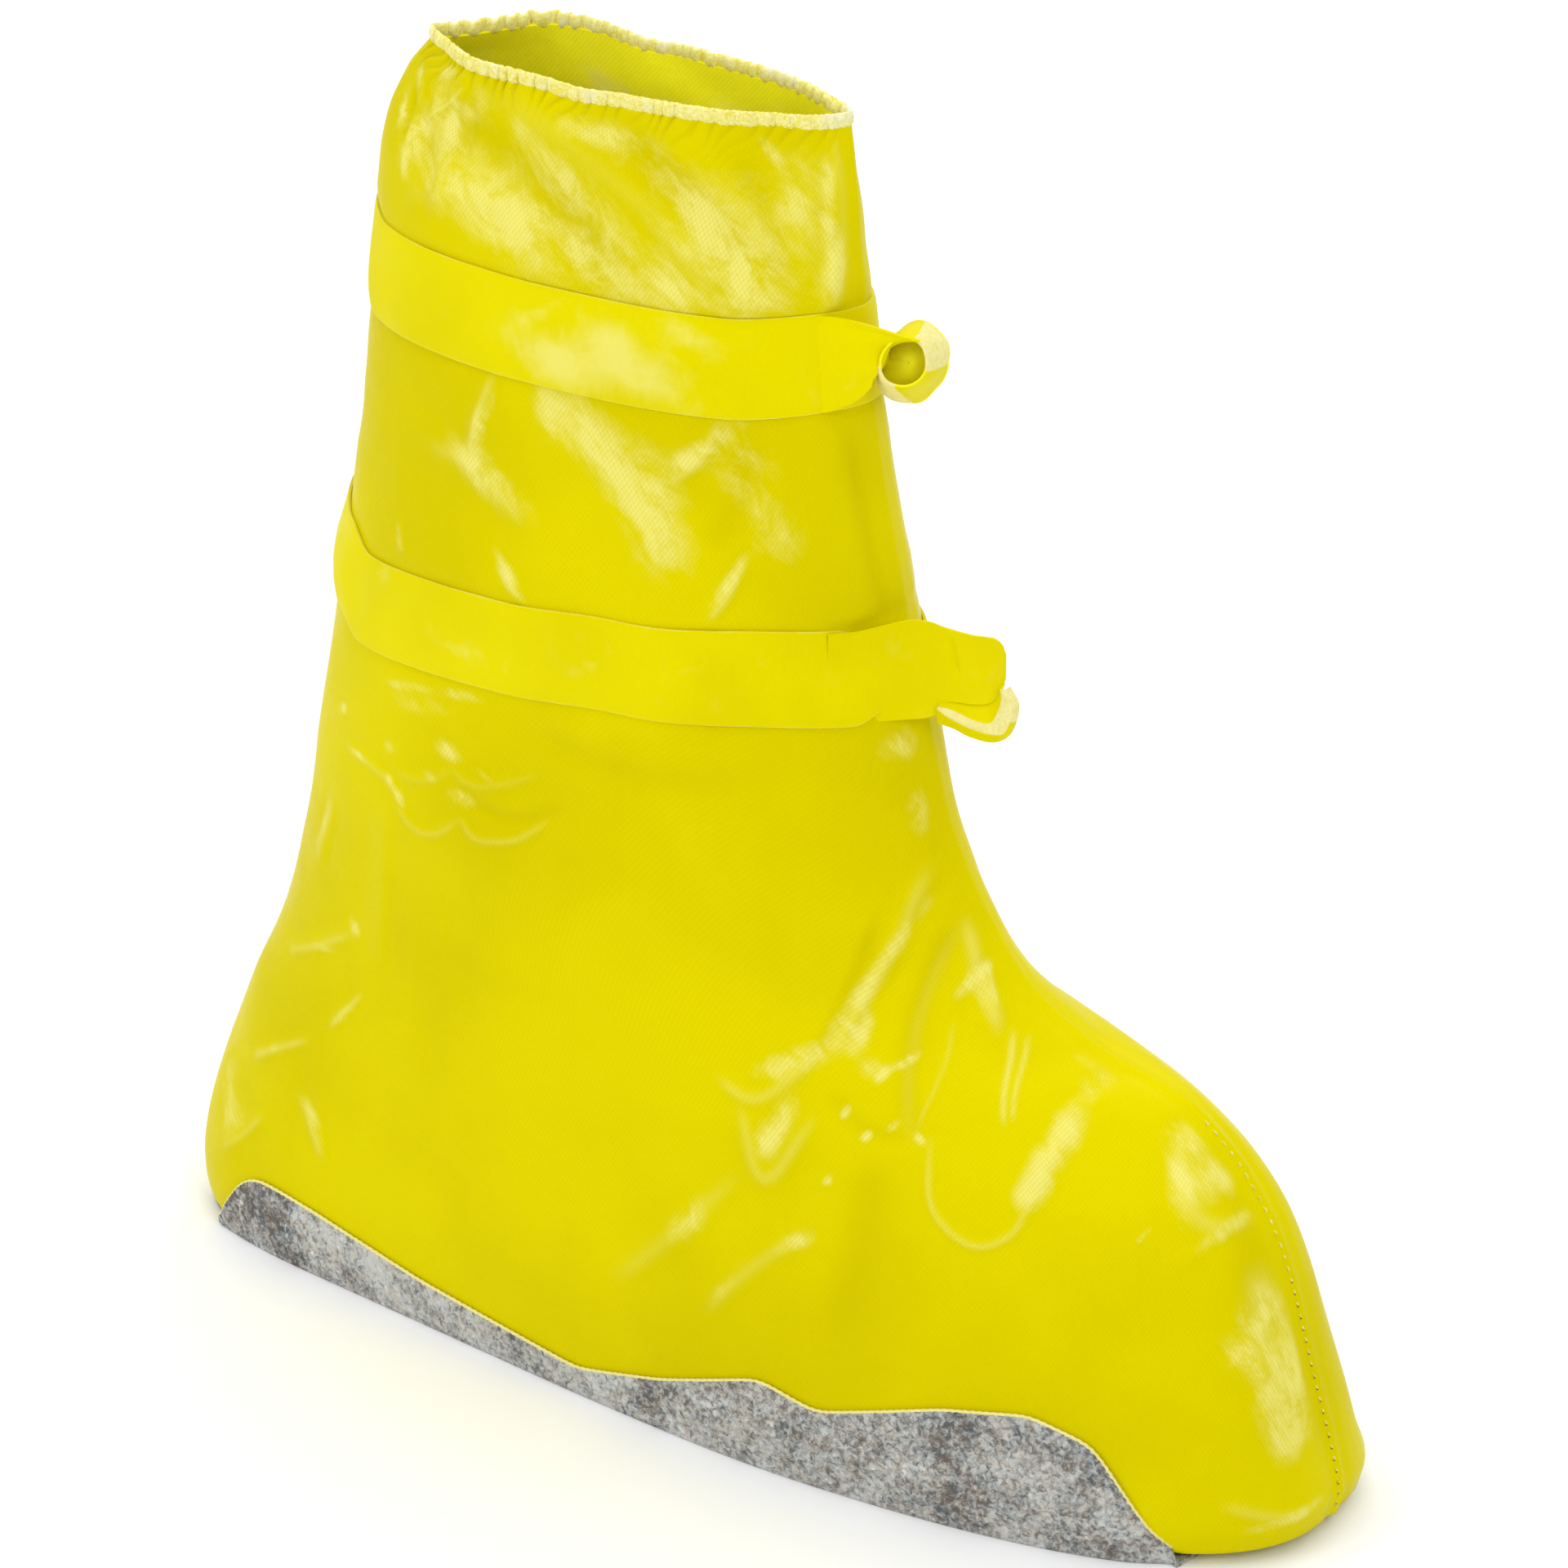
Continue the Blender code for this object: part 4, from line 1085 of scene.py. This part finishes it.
# Low end of the lower tie, a lip rolled towards the near side: its under edge, the outer and inner edges of
# its cream band and its root, in millimetres ahead of the strap's front and above its middle
Lip = namedtuple("Lip", "under outer inner root")
LIP = (
    Lip((10.0, -14.0), (11.4, -8.3), (11.5, -8.1), (10.5, -6.0)),
    Lip((15.5, -14.4), (15.6, -10.0), (16.2, -8.0), (15.0, -5.6)),
    Lip((21.0, -15.6), (22.2, -11.4), (23.0, -9.2), (21.0, -4.9)),
    Lip((28.6, -15.2), (29.0, -11.6), (28.6, -8.8), (26.0, -3.4)),
    Lip((34.0, -11.0), (33.8, -9.9), (31.2, -4.8), (29.0, -1.2)),
    Lip((36.3, -2.4), (36.1, -2.2), (32.4, -0.6), (30.3, 1.4)),
    Lip((33.4, 2.8), (33.2, 2.8), (32.0, 2.6), (31.2, 3.2)),
)
# How far aside each of the four lies, and the rows and the tip that show the fabric back
LIP_ASIDE = (-5.4, -8.2, -7.6, -4.8)
LIP_BAND, LIP_BAND_TIP = (0.98, 1.98), 0.74
LIP_STEPS, LIP_ROWS = 80, 24


def strap_front(skin, table):
    """Foremost point of a strap's outer face, and the angle by which the shaft leans back there."""
    middle = table[-1].height
    heights = np.full(skin.points.shape[1], middle)
    front = skin.at(heights, table[-1].stand_off + TIE_THICK)[-1]
    low, high = (skin.at(heights + side * TIE_WIDTH / 2, 0.0)[-1] for side in (-1, 1))
    return front, math.atan2(low[0] - high[0], high[2] - low[2])


def add_knot(name, front, lean, half_sizes, material):
    """Small pulled-tight knot of pleated strap, lying against the front of its strap."""
    around = 2 * math.pi * np.arange(KNOT_ROUND) / KNOT_ROUND
    rows = []
    for tilt in np.linspace(-0.5, 0.5, KNOT_RINGS + 1)[1:-1] * math.pi:
        swirl = KNOT_PLEATS * around + KNOT_SWIRL * math.sin(tilt)
        pleat = 1 + KNOT_PLEAT_DEPTH * (np.abs(np.sin(swirl / 2)) - KNOT_PLEAT_LEVEL) * math.cos(tilt)
        shape = np.stack([math.cos(tilt) * np.cos(around), math.cos(tilt) * np.sin(around),
                          np.full(KNOT_ROUND, math.sin(tilt))], axis=1)
        rows.append(shape * pleat[:, None] * half_sizes)
    rows = np.array(rows)
    cos, sin = math.cos(lean), math.sin(lean)
    tilt_back = np.array([[cos, 0, -sin], [0, 1, 0], [sin, 0, cos]])
    centre = front + np.array([(GAP + half_sizes[0]) / cos, 0.0, 0.0])
    vertices = rows.reshape(-1, 3) @ tilt_back.T + centre
    add_piece(name + "_pleats", vertices, capped(rows), [material], (name,), vertices[:, 1:])


def strap_place(skin, table, back, across):
    """Point of a strap's near face some way back from its front, and the way the strap runs there."""
    along = skin.share(table[-1].height)
    half = read_table(table, "wide", along) * TIE_WIDTH / 2
    heights = read_table(table, "height", along) + across * half
    face = skin.at(heights, table[-1].stand_off + TIE_THICK / 2)
    column = int(np.argmax(face[:, 0] > face[-1, 0] - back))
    return face[column], unit(face[column + 1] - face[column - 1])


def loop_frame(front):
    """Middle of the loop's ring, and the ways out of its mouth, ahead and above."""
    out = np.array(facing(LOOP_TURN, LOOP_RISE))
    ahead = np.array([math.cos(LOOP_TURN), math.sin(LOOP_TURN), 0.0])
    return front + LOOP_AT, out, ahead, np.cross(out, ahead)


def add_loop(front, strap, cream):
    """Strap curled into a cup that shows its fabric back outside over two stretches."""
    centre, out, ahead, above = loop_frame(front)
    angles = np.linspace(180.0, -180.0, LOOP_STEPS + 1)[:-1]
    turn = np.radians(angles)
    radial = np.cos(turn)[:, None] * ahead + np.sin(turn)[:, None] * above
    mouth, far = read_table(LOOP_CURL, "mouth", angles), read_table(LOOP_CURL, "far", angles)
    rows = []
    floor_shares = np.linspace(0.0, LOOP_FLOOR_TO, LOOP_BACK + 1)[1:]
    for share in np.linspace(0.0, 1.0, LOOP_ACROSS + 1):
        radius = mouth + (far - mouth) * share ** LOOP_FLARE
        rows.append(centre + (1 - 2 * share) * LOOP_HALF * out + radius[:, None] * radial)
    for share in floor_shares:
        deep = LOOP_HALF * (1 - LOOP_FLOOR_DEPTH * math.sin(share * math.pi / 2))
        rows.append(centre - deep * out + ((1 - share) * far)[:, None] * radial)
    rows = np.array(rows)
    uneven = LOOP_UNEVEN * np.concatenate([np.ones(LOOP_ACROSS + 1), (1 - floor_shares) ** 2])
    rows += (uneven[:, None] * noise_at(rows, *LOOP_SWELL))[..., None] * radial[None]
    vertices, faces, marks = ribbon(rows, TIE_THICK, wrap=True)
    row, column = face_places(faces, rows)
    where = angles[column] - CREAM_SLANT * (row - LOOP_ACROSS / 2)
    banded = [(where > low) & (where < high) for low, high in (CREAM_HIGH, CREAM_LOW)]
    second = ((np.array(marks) == 0) & (row < LOOP_ACROSS) & (banded[0] | banded[1])).astype(int)
    # The cup's inside faces are marked for the strap's brighter painted-light colour
    values = {"inside": np.repeat((0.0, 1.0), len(vertices) // 2)}
    add_piece("upper_tie_curl", vertices, faces, [strap, cream], ("upper_tie_loop",),
              flat_grain(rows), values, second)


def add_neck(skin, front, strap):
    """Strap leaving the shaft near its front and drawn together into the loop's mouth."""
    centre, out, ahead, above = loop_frame(front)
    mouth = centre + LOOP_HALF * out
    rows = []
    for across in np.linspace(-1.0, 1.0, NECK_ROWS + 1):
        start, run = strap_place(skin, UPPER_STRAP, NECK_BACK, NECK_WIDE * across)
        start = start + (0.0, NECK_SUNK, 0.0)
        ends = MM * through(NECK_ENDS, (across + 1) / 2 * (len(NECK_ENDS) - 1))
        end = mouth + ends[0] * ahead + ends[1] * above + ends[2] * out
        reach = np.linalg.norm(end - start)
        shares = np.linspace(0.0, 1.0, NECK_STEPS + 1)[:, None]
        turned_up = np.array([0.0, 0.0, NECK_TURN_UP * max(0.0, -across)])
        curl = NECK_CURL * fade(across, *NECK_CURL_OVER) * (1 - NECK_UNCURL * fade(across, *NECK_UNCURL_OVER))
        into = unit((end - start) / reach + turned_up - curl * out)
        leave, arrive = start + NECK_LEAVES * reach * run * NECK_RUN, end - NECK_ARRIVES * reach * into
        curve = (1 - shares) ** 3 * start + 3 * (1 - shares) ** 2 * shares * leave
        rows.append(curve + 3 * (1 - shares) * shares ** 2 * arrive + shares ** 3 * end)
    rows = np.array(rows)
    vertices, faces, _ = ribbon(rows, TIE_THICK)
    add_piece("upper_tie_neck", vertices, faces, [strap], (), flat_grain(rows))


def add_tab(skin, front, strap, cream):
    """Top end of the lower tie: the strap leaving the shaft and standing out ahead, with one crease."""
    stations = []
    for back, lift, sunk in TAB_BACK:
        ahead, aside, up = (strap_place(skin, LOWER_STRAP, back, 0.0)[0] - front) / MM
        edge = TIE_WIDTH / 2 / MM - TAB_NARROW
        stations.append(Tab(ahead, aside + sunk, up - edge, up + edge + lift))
    stations += TAB
    path = [Tab(*through(stations, place)) for place in np.linspace(0, len(stations) - 1, TAB_STEPS + 1)]
    ahead, aside, low, high = np.array(path).T
    shares = np.linspace(0.0, 1.0, TAB_ROWS + 1)[:, None]
    up = low + shares * (high - low)
    ahead = np.broadcast_to(ahead, up.shape)
    gap, along = fold_reach(ahead, up, Fold(TAB_CREASE, TAB_CREASE_WIDE, 0, 0))
    taper = eased(TAB_CREASE_TAPER * along) * eased(TAB_CREASE_TAPER * (1 - along))
    dent = TAB_CREASE_DEPTH * np.exp(-(gap / TAB_CREASE_WIDE) ** 2) * taper
    rows = front + MM * np.stack([ahead, aside + dent, up], axis=-1)
    vertices, faces, marks = ribbon(rows, TIE_THICK)
    add_piece("lower_tie_end_top_ribbon", vertices, faces, [strap, cream],
              ("lower_tie_end_top",), flat_grain(rows), second=marks)


def add_lip(front, strap, cream):
    """Low end of the lower tie: a rolled lip with its fabric back showing as a cream band."""
    rows = []
    last = len(LIP_ASIDE) - 1
    for across in np.linspace(0.0, last, LIP_ROWS + 1):
        row = []
        for place in np.linspace(0, len(LIP) - 1, LIP_STEPS + 1):
            profile = np.insert(through(LIP, place), 1, LIP_ASIDE, axis=1)
            row.append(through(profile, across))
        rows.append(row)
    rows = front + MM * np.array(rows)
    vertices, faces, marks = ribbon(rows, TIE_THICK)
    row, column = face_places(faces, rows)
    across, along = row * last / LIP_ROWS, column / LIP_STEPS
    banded = (across < LIP_BAND[1]) & ((across > LIP_BAND[0]) | (along > LIP_BAND_TIP))
    second = ((np.array(marks) == 1) | banded).astype(int)
    add_piece("lower_tie_end_low_ribbon", vertices, faces, [strap, cream],
              ("lower_tie_end_low",), flat_grain(rows), second=second)


class Finish:
    """A node material under construction."""

    def __init__(self, name, roughness, specular):
        self.material = bpy.data.materials.new(name)
        self.material.use_nodes = True
        self.tree = self.material.node_tree
        self.shader = self.tree.nodes["Principled BSDF"]
        self.shader.inputs["Roughness"].default_value = roughness
        self.shader.inputs["Specular IOR Level"].default_value = specular

    def node(self, kind, inputs=None, **settings):
        node = self.tree.nodes.new(kind)
        for key, value in settings.items():
            setattr(node, key, value)
        for key, value in (inputs or {}).items():
            if isinstance(value, bpy.types.NodeSocket):
                self.tree.links.new(value, node.inputs[key])
            else:
                node.inputs[key].default_value = value
        return node

    def math(self, operation, first, second=0.0):
        return self.node("ShaderNodeMath", {0: first, 1: second}, operation=operation).outputs[0]

    def place(self):
        return self.node("ShaderNodeTexCoord").outputs["Object"]

    def noise(self, scale, detail=2.0, roughness=0.5, distortion=0.0, vector=None):
        inputs = {"Vector": vector or self.place(), "Scale": scale, "Detail": detail, "Roughness": roughness,
                  "Distortion": distortion}
        return self.node("ShaderNodeTexNoise", inputs).outputs["Fac"]

    def grain(self, waves):
        """Embossed diagonal grain on the cloth as it was cut, from 0 in its hollows to 1 at its tops."""
        across, up, *_ = self.node("ShaderNodeSeparateXYZ",
                                   {0: self.node("ShaderNodeUVMap", uv_map="grain").outputs["UV"]}).outputs
        height = 0.5
        for across_waves, up_waves, share in waves:
            turns = self.math("ADD", self.math("MULTIPLY", across, 2 * math.pi * across_waves),
                              self.math("MULTIPLY", up, 2 * math.pi * up_waves))
            height = self.math("ADD", self.math("MULTIPLY", self.math("SINE", turns), share), height)
        return height

    def ramp(self, value, low, high, start=0.0, end=1.0):
        inputs = {"Value": value, "From Min": low, "From Max": high, "To Min": start, "To Max": end}
        return self.node("ShaderNodeMapRange", inputs, interpolation_type="SMOOTHSTEP").outputs[0]

    def mix(self, share, first, second):
        node = self.node("ShaderNodeMix", data_type="RGBA")
        for key, value in (("Factor", share), ("A", first), ("B", second)):
            socket = next(s for s in node.inputs if s.name == key and s.enabled)
            if isinstance(value, bpy.types.NodeSocket):
                self.tree.links.new(value, socket)
            elif key == "Factor":
                socket.default_value = value
            else:
                socket.default_value = (*value, 1.0)
        return next(s for s in node.outputs if s.enabled)

    def value(self, name):
        return self.node("ShaderNodeAttribute", attribute_name=name).outputs["Fac"]

    def bump(self, height, distance, strength=1.0, below=None):
        inputs = {"Height": height, "Distance": distance, "Strength": strength}
        if below is not None:
            inputs["Normal"] = below
        return self.node("ShaderNodeBump", inputs).outputs["Normal"]

    def set(self, socket, value):
        self.tree.links.new(value, self.shader.inputs[socket])


# Embossed grain: waves to the metre across and up the cloth, and how strong they are
FILM_GRAIN = ((740, 472, 0.22), (740, -472, 0.28))
STRAP_GRAIN = ((640, 420, 0.22), (640, -420, 0.28))

# Painted highlights break up into streaks that run down and forward
STREAK_TURN = math.radians(42)
STREAK_LONG = 2.2

# Colours
SHEEN = (1.0, 0.93, 0.10, 1.0)
YELLOW = (0.725, 0.630, 0.0)
YELLOW_DEEP = (0.640, 0.548, 0.0)
# Brighter colour of the film's inside faces: painted light in the shaded inside
YELLOW_INSIDE_PAINTED_LIGHT = (1.0, 0.945, 0.02)
STITCH_YELLOW = (0.86, 0.80, 0.28)
# Painted shade colour, for sunk creases, gathers and the hollows of the grain
YELLOW_SHADE = (0.54, 0.45, 0.0)
# Painted highlight colour, for the film's flats and crests and for the straps
YELLOW_PAINTED_HIGHLIGHT = (0.84, 0.78, 0.22)
STRAP_YELLOW = (0.750, 0.660, 0.0)
STRAP_DEEP = (0.700, 0.608, 0.0)
# Brighter colour of the loop's inside faces: painted light in the shaded cup
STRAP_INSIDE_PAINTED_LIGHT = (0.97, 0.90, 0.02)
CREAM = (0.84, 0.77, 0.33)
CREAM_DEEP = (0.78, 0.69, 0.20)
SERGING_FILM = (0.76, 0.67, 0.06)
SERGING_THREAD = (0.88, 0.82, 0.36)
SERGING_FLECK = (0.80, 0.80, 0.70)
FELT_DULL = (0.62, 0.60, 0.55)
FELT_PALE = (0.97, 0.96, 0.92)
FELT_COOL = (0.66, 0.72, 0.73)
FLECK_BROWN = (0.125, 0.100, 0.082)
FLECK_BLUE = (0.070, 0.075, 0.080)
FLOOR_TONES = ((0.88, 0.88, 0.88), (0.91, 0.91, 0.91))
SKY = (0.95, 0.97, 1.0, 1.0)
SKY_STRENGTH = 0.35


def film_finish():
    """Glossy coated film: embossed grain with painted shade in its hollows, soft crumple, painted highlights
    on flats and crease crests, painted shade in dips, and painted light on its inside faces.
    """
    film = Finish("yellow_film", 0.30, 0.02)
    film.shader.inputs["Specular Tint"].default_value = SHEEN
    grain = film.grain(FILM_GRAIN)
    cloud = film.noise(11.0, 3.0)
    streaks = film.node("ShaderNodeMapping", {"Vector": film.place(), "Rotation": (0.0, STREAK_TURN, 0.0),
                                              "Scale": (STREAK_LONG, 1.0, 1.0)}, vector_type="TEXTURE")
    ragged = film.noise(88.0, 7.0, 0.74, 0.35, streaks.outputs[0])
    # Mask of the painted highlight on the flats, broken into streaks and speckled by the grain
    reach = film.math("MULTIPLY", film.value("painted_gleam"), film.ramp(ragged, 0.28, 0.72, 0.28, 1.72))
    painted_gleam = film.ramp(reach, 0.16, 0.98)
    speckle = film.ramp(grain, 0.0, 1.0, 0.62, 0.82)
    base = film.mix(film.ramp(cloud, 0.35, 0.68), YELLOW, YELLOW_DEEP)
    # Painted light: inside faces take a brighter yellow
    base = film.mix(film.value("inside"), base, YELLOW_INSIDE_PAINTED_LIGHT)
    # Painted shade in the dips of sunk creases and gathers
    base = film.mix(film.math("MULTIPLY", film.value("painted_dip_shade"), 0.55), base, YELLOW_SHADE)
    # Painted highlight on the flats, mixed into the colour
    base = film.mix(film.math("MULTIPLY", painted_gleam, speckle), base, YELLOW_PAINTED_HIGHLIGHT)
    # Painted highlight along the crests of the creases
    base = film.mix(film.math("MULTIPLY", film.value("painted_crest"), 0.70), base, YELLOW_PAINTED_HIGHLIGHT)
    # Painted shade in the hollows of the embossed grain
    base = film.mix(film.ramp(grain, 0.0, 1.0, 0.16, 0.0), base, YELLOW_SHADE)
    film.set("Base Color", base)
    film.set("Roughness", film.ramp(film.noise(38.0, 3.0), 0.30, 0.70, 0.24, 0.40))
    crumple = film.bump(film.noise(48.0, 4.0, 0.55, 0.3), 0.0014, 0.50)
    film.set("Normal", film.bump(grain, 0.00008, 0.35, crumple))
    return film.material


def strap_finish():
    """Smoother tie ribbon, brighter and less glossy than the film, with painted highlights, and painted light
    on the loop's inside faces.
    """
    strap = Finish("yellow_strap", 0.50, 0.06)
    strap.shader.inputs["Specular Tint"].default_value = SHEEN
    grain = strap.grain(STRAP_GRAIN)
    cloud = strap.noise(22.0, 3.0)
    ragged = strap.noise(110.0, 4.0, 0.6, 0.5)
    reach = strap.math("ADD", strap.value("painted_gleam"), strap.math("MULTIPLY", ragged, 0.8))
    painted_gleam = strap.ramp(reach, 0.45, 1.20)
    base = strap.mix(strap.ramp(cloud, 0.35, 0.70), STRAP_YELLOW, STRAP_DEEP)
    # Painted light: the loop's inside faces take a brighter yellow
    base = strap.mix(strap.value("inside"), base, STRAP_INSIDE_PAINTED_LIGHT)
    # Painted highlight on the strap, mixed into the colour
    base = strap.mix(strap.math("MULTIPLY", painted_gleam, 0.60), base, YELLOW_PAINTED_HIGHLIGHT)
    strap.set("Base Color", base)
    strap.set("Roughness", strap.ramp(strap.noise(60.0, 2.0), 0.30, 0.70, 0.42, 0.58))
    crumple = strap.bump(strap.noise(60.0, 3.0, 0.5), 0.0008, 0.40)
    strap.set("Normal", strap.bump(grain, 0.00006, 0.40, crumple))
    return strap.material


def cream_finish(name, scale, deep, pale):
    """Fibrous back of the ribbon, or sewing thread, from a deeper to a paler tone."""
    cream = Finish(name, 0.75, 0.20)
    fibre = cream.noise(scale, 5.0, 0.65, 1.2)
    cream.set("Base Color", cream.mix(cream.ramp(fibre, 0.30, 0.68), deep, pale))
    cream.set("Roughness", cream.ramp(fibre, 0.2, 0.8, 0.85, 0.65))
    cream.set("Normal", cream.bump(fibre, 0.0003, 0.5))
    return cream.material


def serging_finish():
    """Overlocked edge: cream thread with yellow film showing between, and a greyish fleck here and there."""
    serging = Finish("cream_serging_edge", 0.75, 0.15)
    weave = serging.noise(620.0, 4.0, 0.7, 1.5)
    patch = serging.noise(90.0, 2.0)
    base = serging.mix(serging.ramp(weave, 0.36, 0.62), SERGING_FILM, SERGING_THREAD)
    base = serging.mix(serging.ramp(patch, 0.52, 0.74, 0.0, 0.6), base, SERGING_FLECK)
    serging.set("Base Color", base)
    serging.set("Normal", serging.bump(weave, 0.0004, 0.6))
    return serging.material


def sole_finish():
    """Grey nonwoven: pale felt with dark flecks, which crowd together in some blotches."""
    felt = Finish("grey_nonwoven", 0.92, 0.08)
    blotch = felt.math("ADD", felt.math("MULTIPLY", felt.noise(26.0, 2.0), 0.55),
                       felt.math("MULTIPLY", felt.noise(95.0, 3.0, 0.6, 0.6), 0.45))
    fleck = felt.noise(560.0, 5.0, 0.66, 0.6)
    fibre = felt.node("ShaderNodeTexNoise", {"Vector": felt.place(), "Scale": 420.0, "Detail": 3.0,
                                             "Roughness": 0.6, "Lacunarity": 2.1, "Distortion": 0.8},
                      noise_type="RIDGED_MULTIFRACTAL", normalize=True).outputs["Fac"]
    crowd = felt.math("SUBTRACT", 0.5, blotch)
    dark = felt.ramp(felt.math("ADD", fleck, crowd), 0.28, 0.68, 0.92, 0.0)
    tint = felt.ramp(felt.noise(230.0, 3.0, 0.6), 0.40, 0.62)
    pale = felt.mix(felt.ramp(fibre, 0.10, 0.70), FELT_DULL, FELT_PALE)
    pale = felt.mix(felt.math("MULTIPLY", tint, 0.45), pale, FELT_COOL)
    deep = felt.mix(tint, FLECK_BROWN, FLECK_BLUE)
    felt.set("Base Color", felt.mix(dark, pale, deep))
    felt.set("Roughness", felt.ramp(fleck, 0.2, 0.8, 0.98, 0.84))
    coarse = felt.bump(blotch, 0.0008, 0.4)
    felt.set("Normal", felt.bump(fleck, 0.0012, 0.9, coarse))
    return felt.material


def floor_finish():
    floor = Finish("pale_floor", 0.85, 0.05)
    tone = floor.noise(0.6, 2.0)
    floor.set("Base Color", floor.mix(tone, *FLOOR_TONES))
    return floor.material


def add_floor():
    mesh = bpy.data.meshes.new("floor")
    corners = [(x * FLOOR_HALF, y * FLOOR_HALF, -FLOOR_DOWN) for x, y in ((-1, -1), (1, -1), (1, 1), (-1, 1))]
    mesh.from_pydata(corners, [], [(0, 1, 2, 3)])
    mesh.materials.append(floor_finish())
    floor = linked("floor", mesh)


# Soft boxes round the object: the way to each from it, its distance, width, height and brightness
Softbox = namedtuple("Softbox", "name way distance wide tall power")
SOFTBOXES = (
    Softbox("left_front", (-0.55, -0.84, 0.42), 2.0, 1.2, 0.9, 12),
    Softbox("right_front", (0.80, -0.46, 0.62), 2.0, 0.8, 1.0, 13),
    Softbox("overhead", (-0.25, 0.40, 1.00), 3.4, 7.0, 7.0, 230),
)
LIGHT_CENTRE = Vector((0.0, 0.0, 0.18))


def add_lights():
    for box in SOFTBOXES:
        light = bpy.data.lights.new(box.name, "AREA")
        light.shape = "RECTANGLE"
        light.size, light.size_y = box.wide, box.tall
        light.energy = box.power
        lamp = linked(box.name, light)
        way = Vector(box.way).normalized()
        lamp.location = LIGHT_CENTRE + way * box.distance
        lamp.rotation_euler = way.to_track_quat("Z", "Y").to_euler()
    world = bpy.data.worlds.new("studio")
    world.use_nodes = True
    sky = world.node_tree.nodes["Background"]
    sky.inputs["Color"].default_value = SKY
    sky.inputs["Strength"].default_value = SKY_STRENGTH
    bpy.context.scene.world = world
    bpy.context.scene.view_settings.view_transform = "Standard"


def add_camera():
    back = Vector(facing(math.radians(CAMERA_AZIMUTH), math.radians(CAMERA_ELEVATION)))
    data = bpy.data.cameras.new("camera")
    data.lens = CAMERA_LENS
    data.sensor_width = SENSOR
    camera = linked("camera", data)
    camera.location = LOOK_AT + back * CAMERA_DISTANCE
    camera.rotation_euler = back.to_track_quat("Z", "Y").to_euler()
    bpy.context.scene.camera = camera


def build():
    film, strap, felt = film_finish(), strap_finish(), sole_finish()
    cream = cream_finish("cream_back", 420.0, CREAM_DEEP, CREAM)
    thread = cream_finish("cream_serging", 700.0, CREAM_DEEP, CREAM)
    near_foot, near_shaft, _, far_shaft = (
        add_panel(panel, film, ("upper",) if panel is PANELS[0] else ()) for panel in PANELS)
    add_hem(near_shaft[0], far_shaft[0], serging_finish())
    add_stitches(*near_foot, cream_finish("pale_stitch", 700.0, YELLOW_DEEP, STITCH_YELLOW))

    foot_places = np.linspace(SOLE_FOOT, SOLE_TOP, SKIN_LEVELS // 3)
    rim = add_sole(HalfSkin(foot_places, SOLE_COLUMNS), felt)
    add_edge_thread(rim, thread)

    strap_skin = HalfSkin(np.linspace(SOLE_TOP, len(SECTIONS) - 1, SKIN_LEVELS), STRAP_COLUMNS)
    add_strap("upper_tie", strap_skin, (UPPER_STRAP, UPPER_STRAP_FAR), strap, (2.2, 0.7, 5.0))
    add_strap("lower_tie", strap_skin, (LOWER_STRAP, LOWER_STRAP_FAR), strap, (6.1, 3.3, 1.0))
    upper_front, upper_lean = strap_front(strap_skin, UPPER_STRAP)
    lower_front, lower_lean = strap_front(strap_skin, LOWER_STRAP)
    add_knot("upper_tie_knot", upper_front, upper_lean, UPPER_KNOT, strap)
    add_knot("lower_tie_knot", lower_front, lower_lean, LOWER_KNOT, strap)
    add_loop(upper_front, strap, cream)
    add_neck(strap_skin, upper_front, strap)
    add_tab(strap_skin, lower_front, strap, cream)
    add_lip(lower_front, strap, cream)
    add_floor()
    add_lights()
    add_camera()


# X of the back of the heel in the frame, found from the foremost section
HEEL_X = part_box("upper")[1].x - LENGTH * SECTIONS[3].front_x - SEAM_RISE
build()
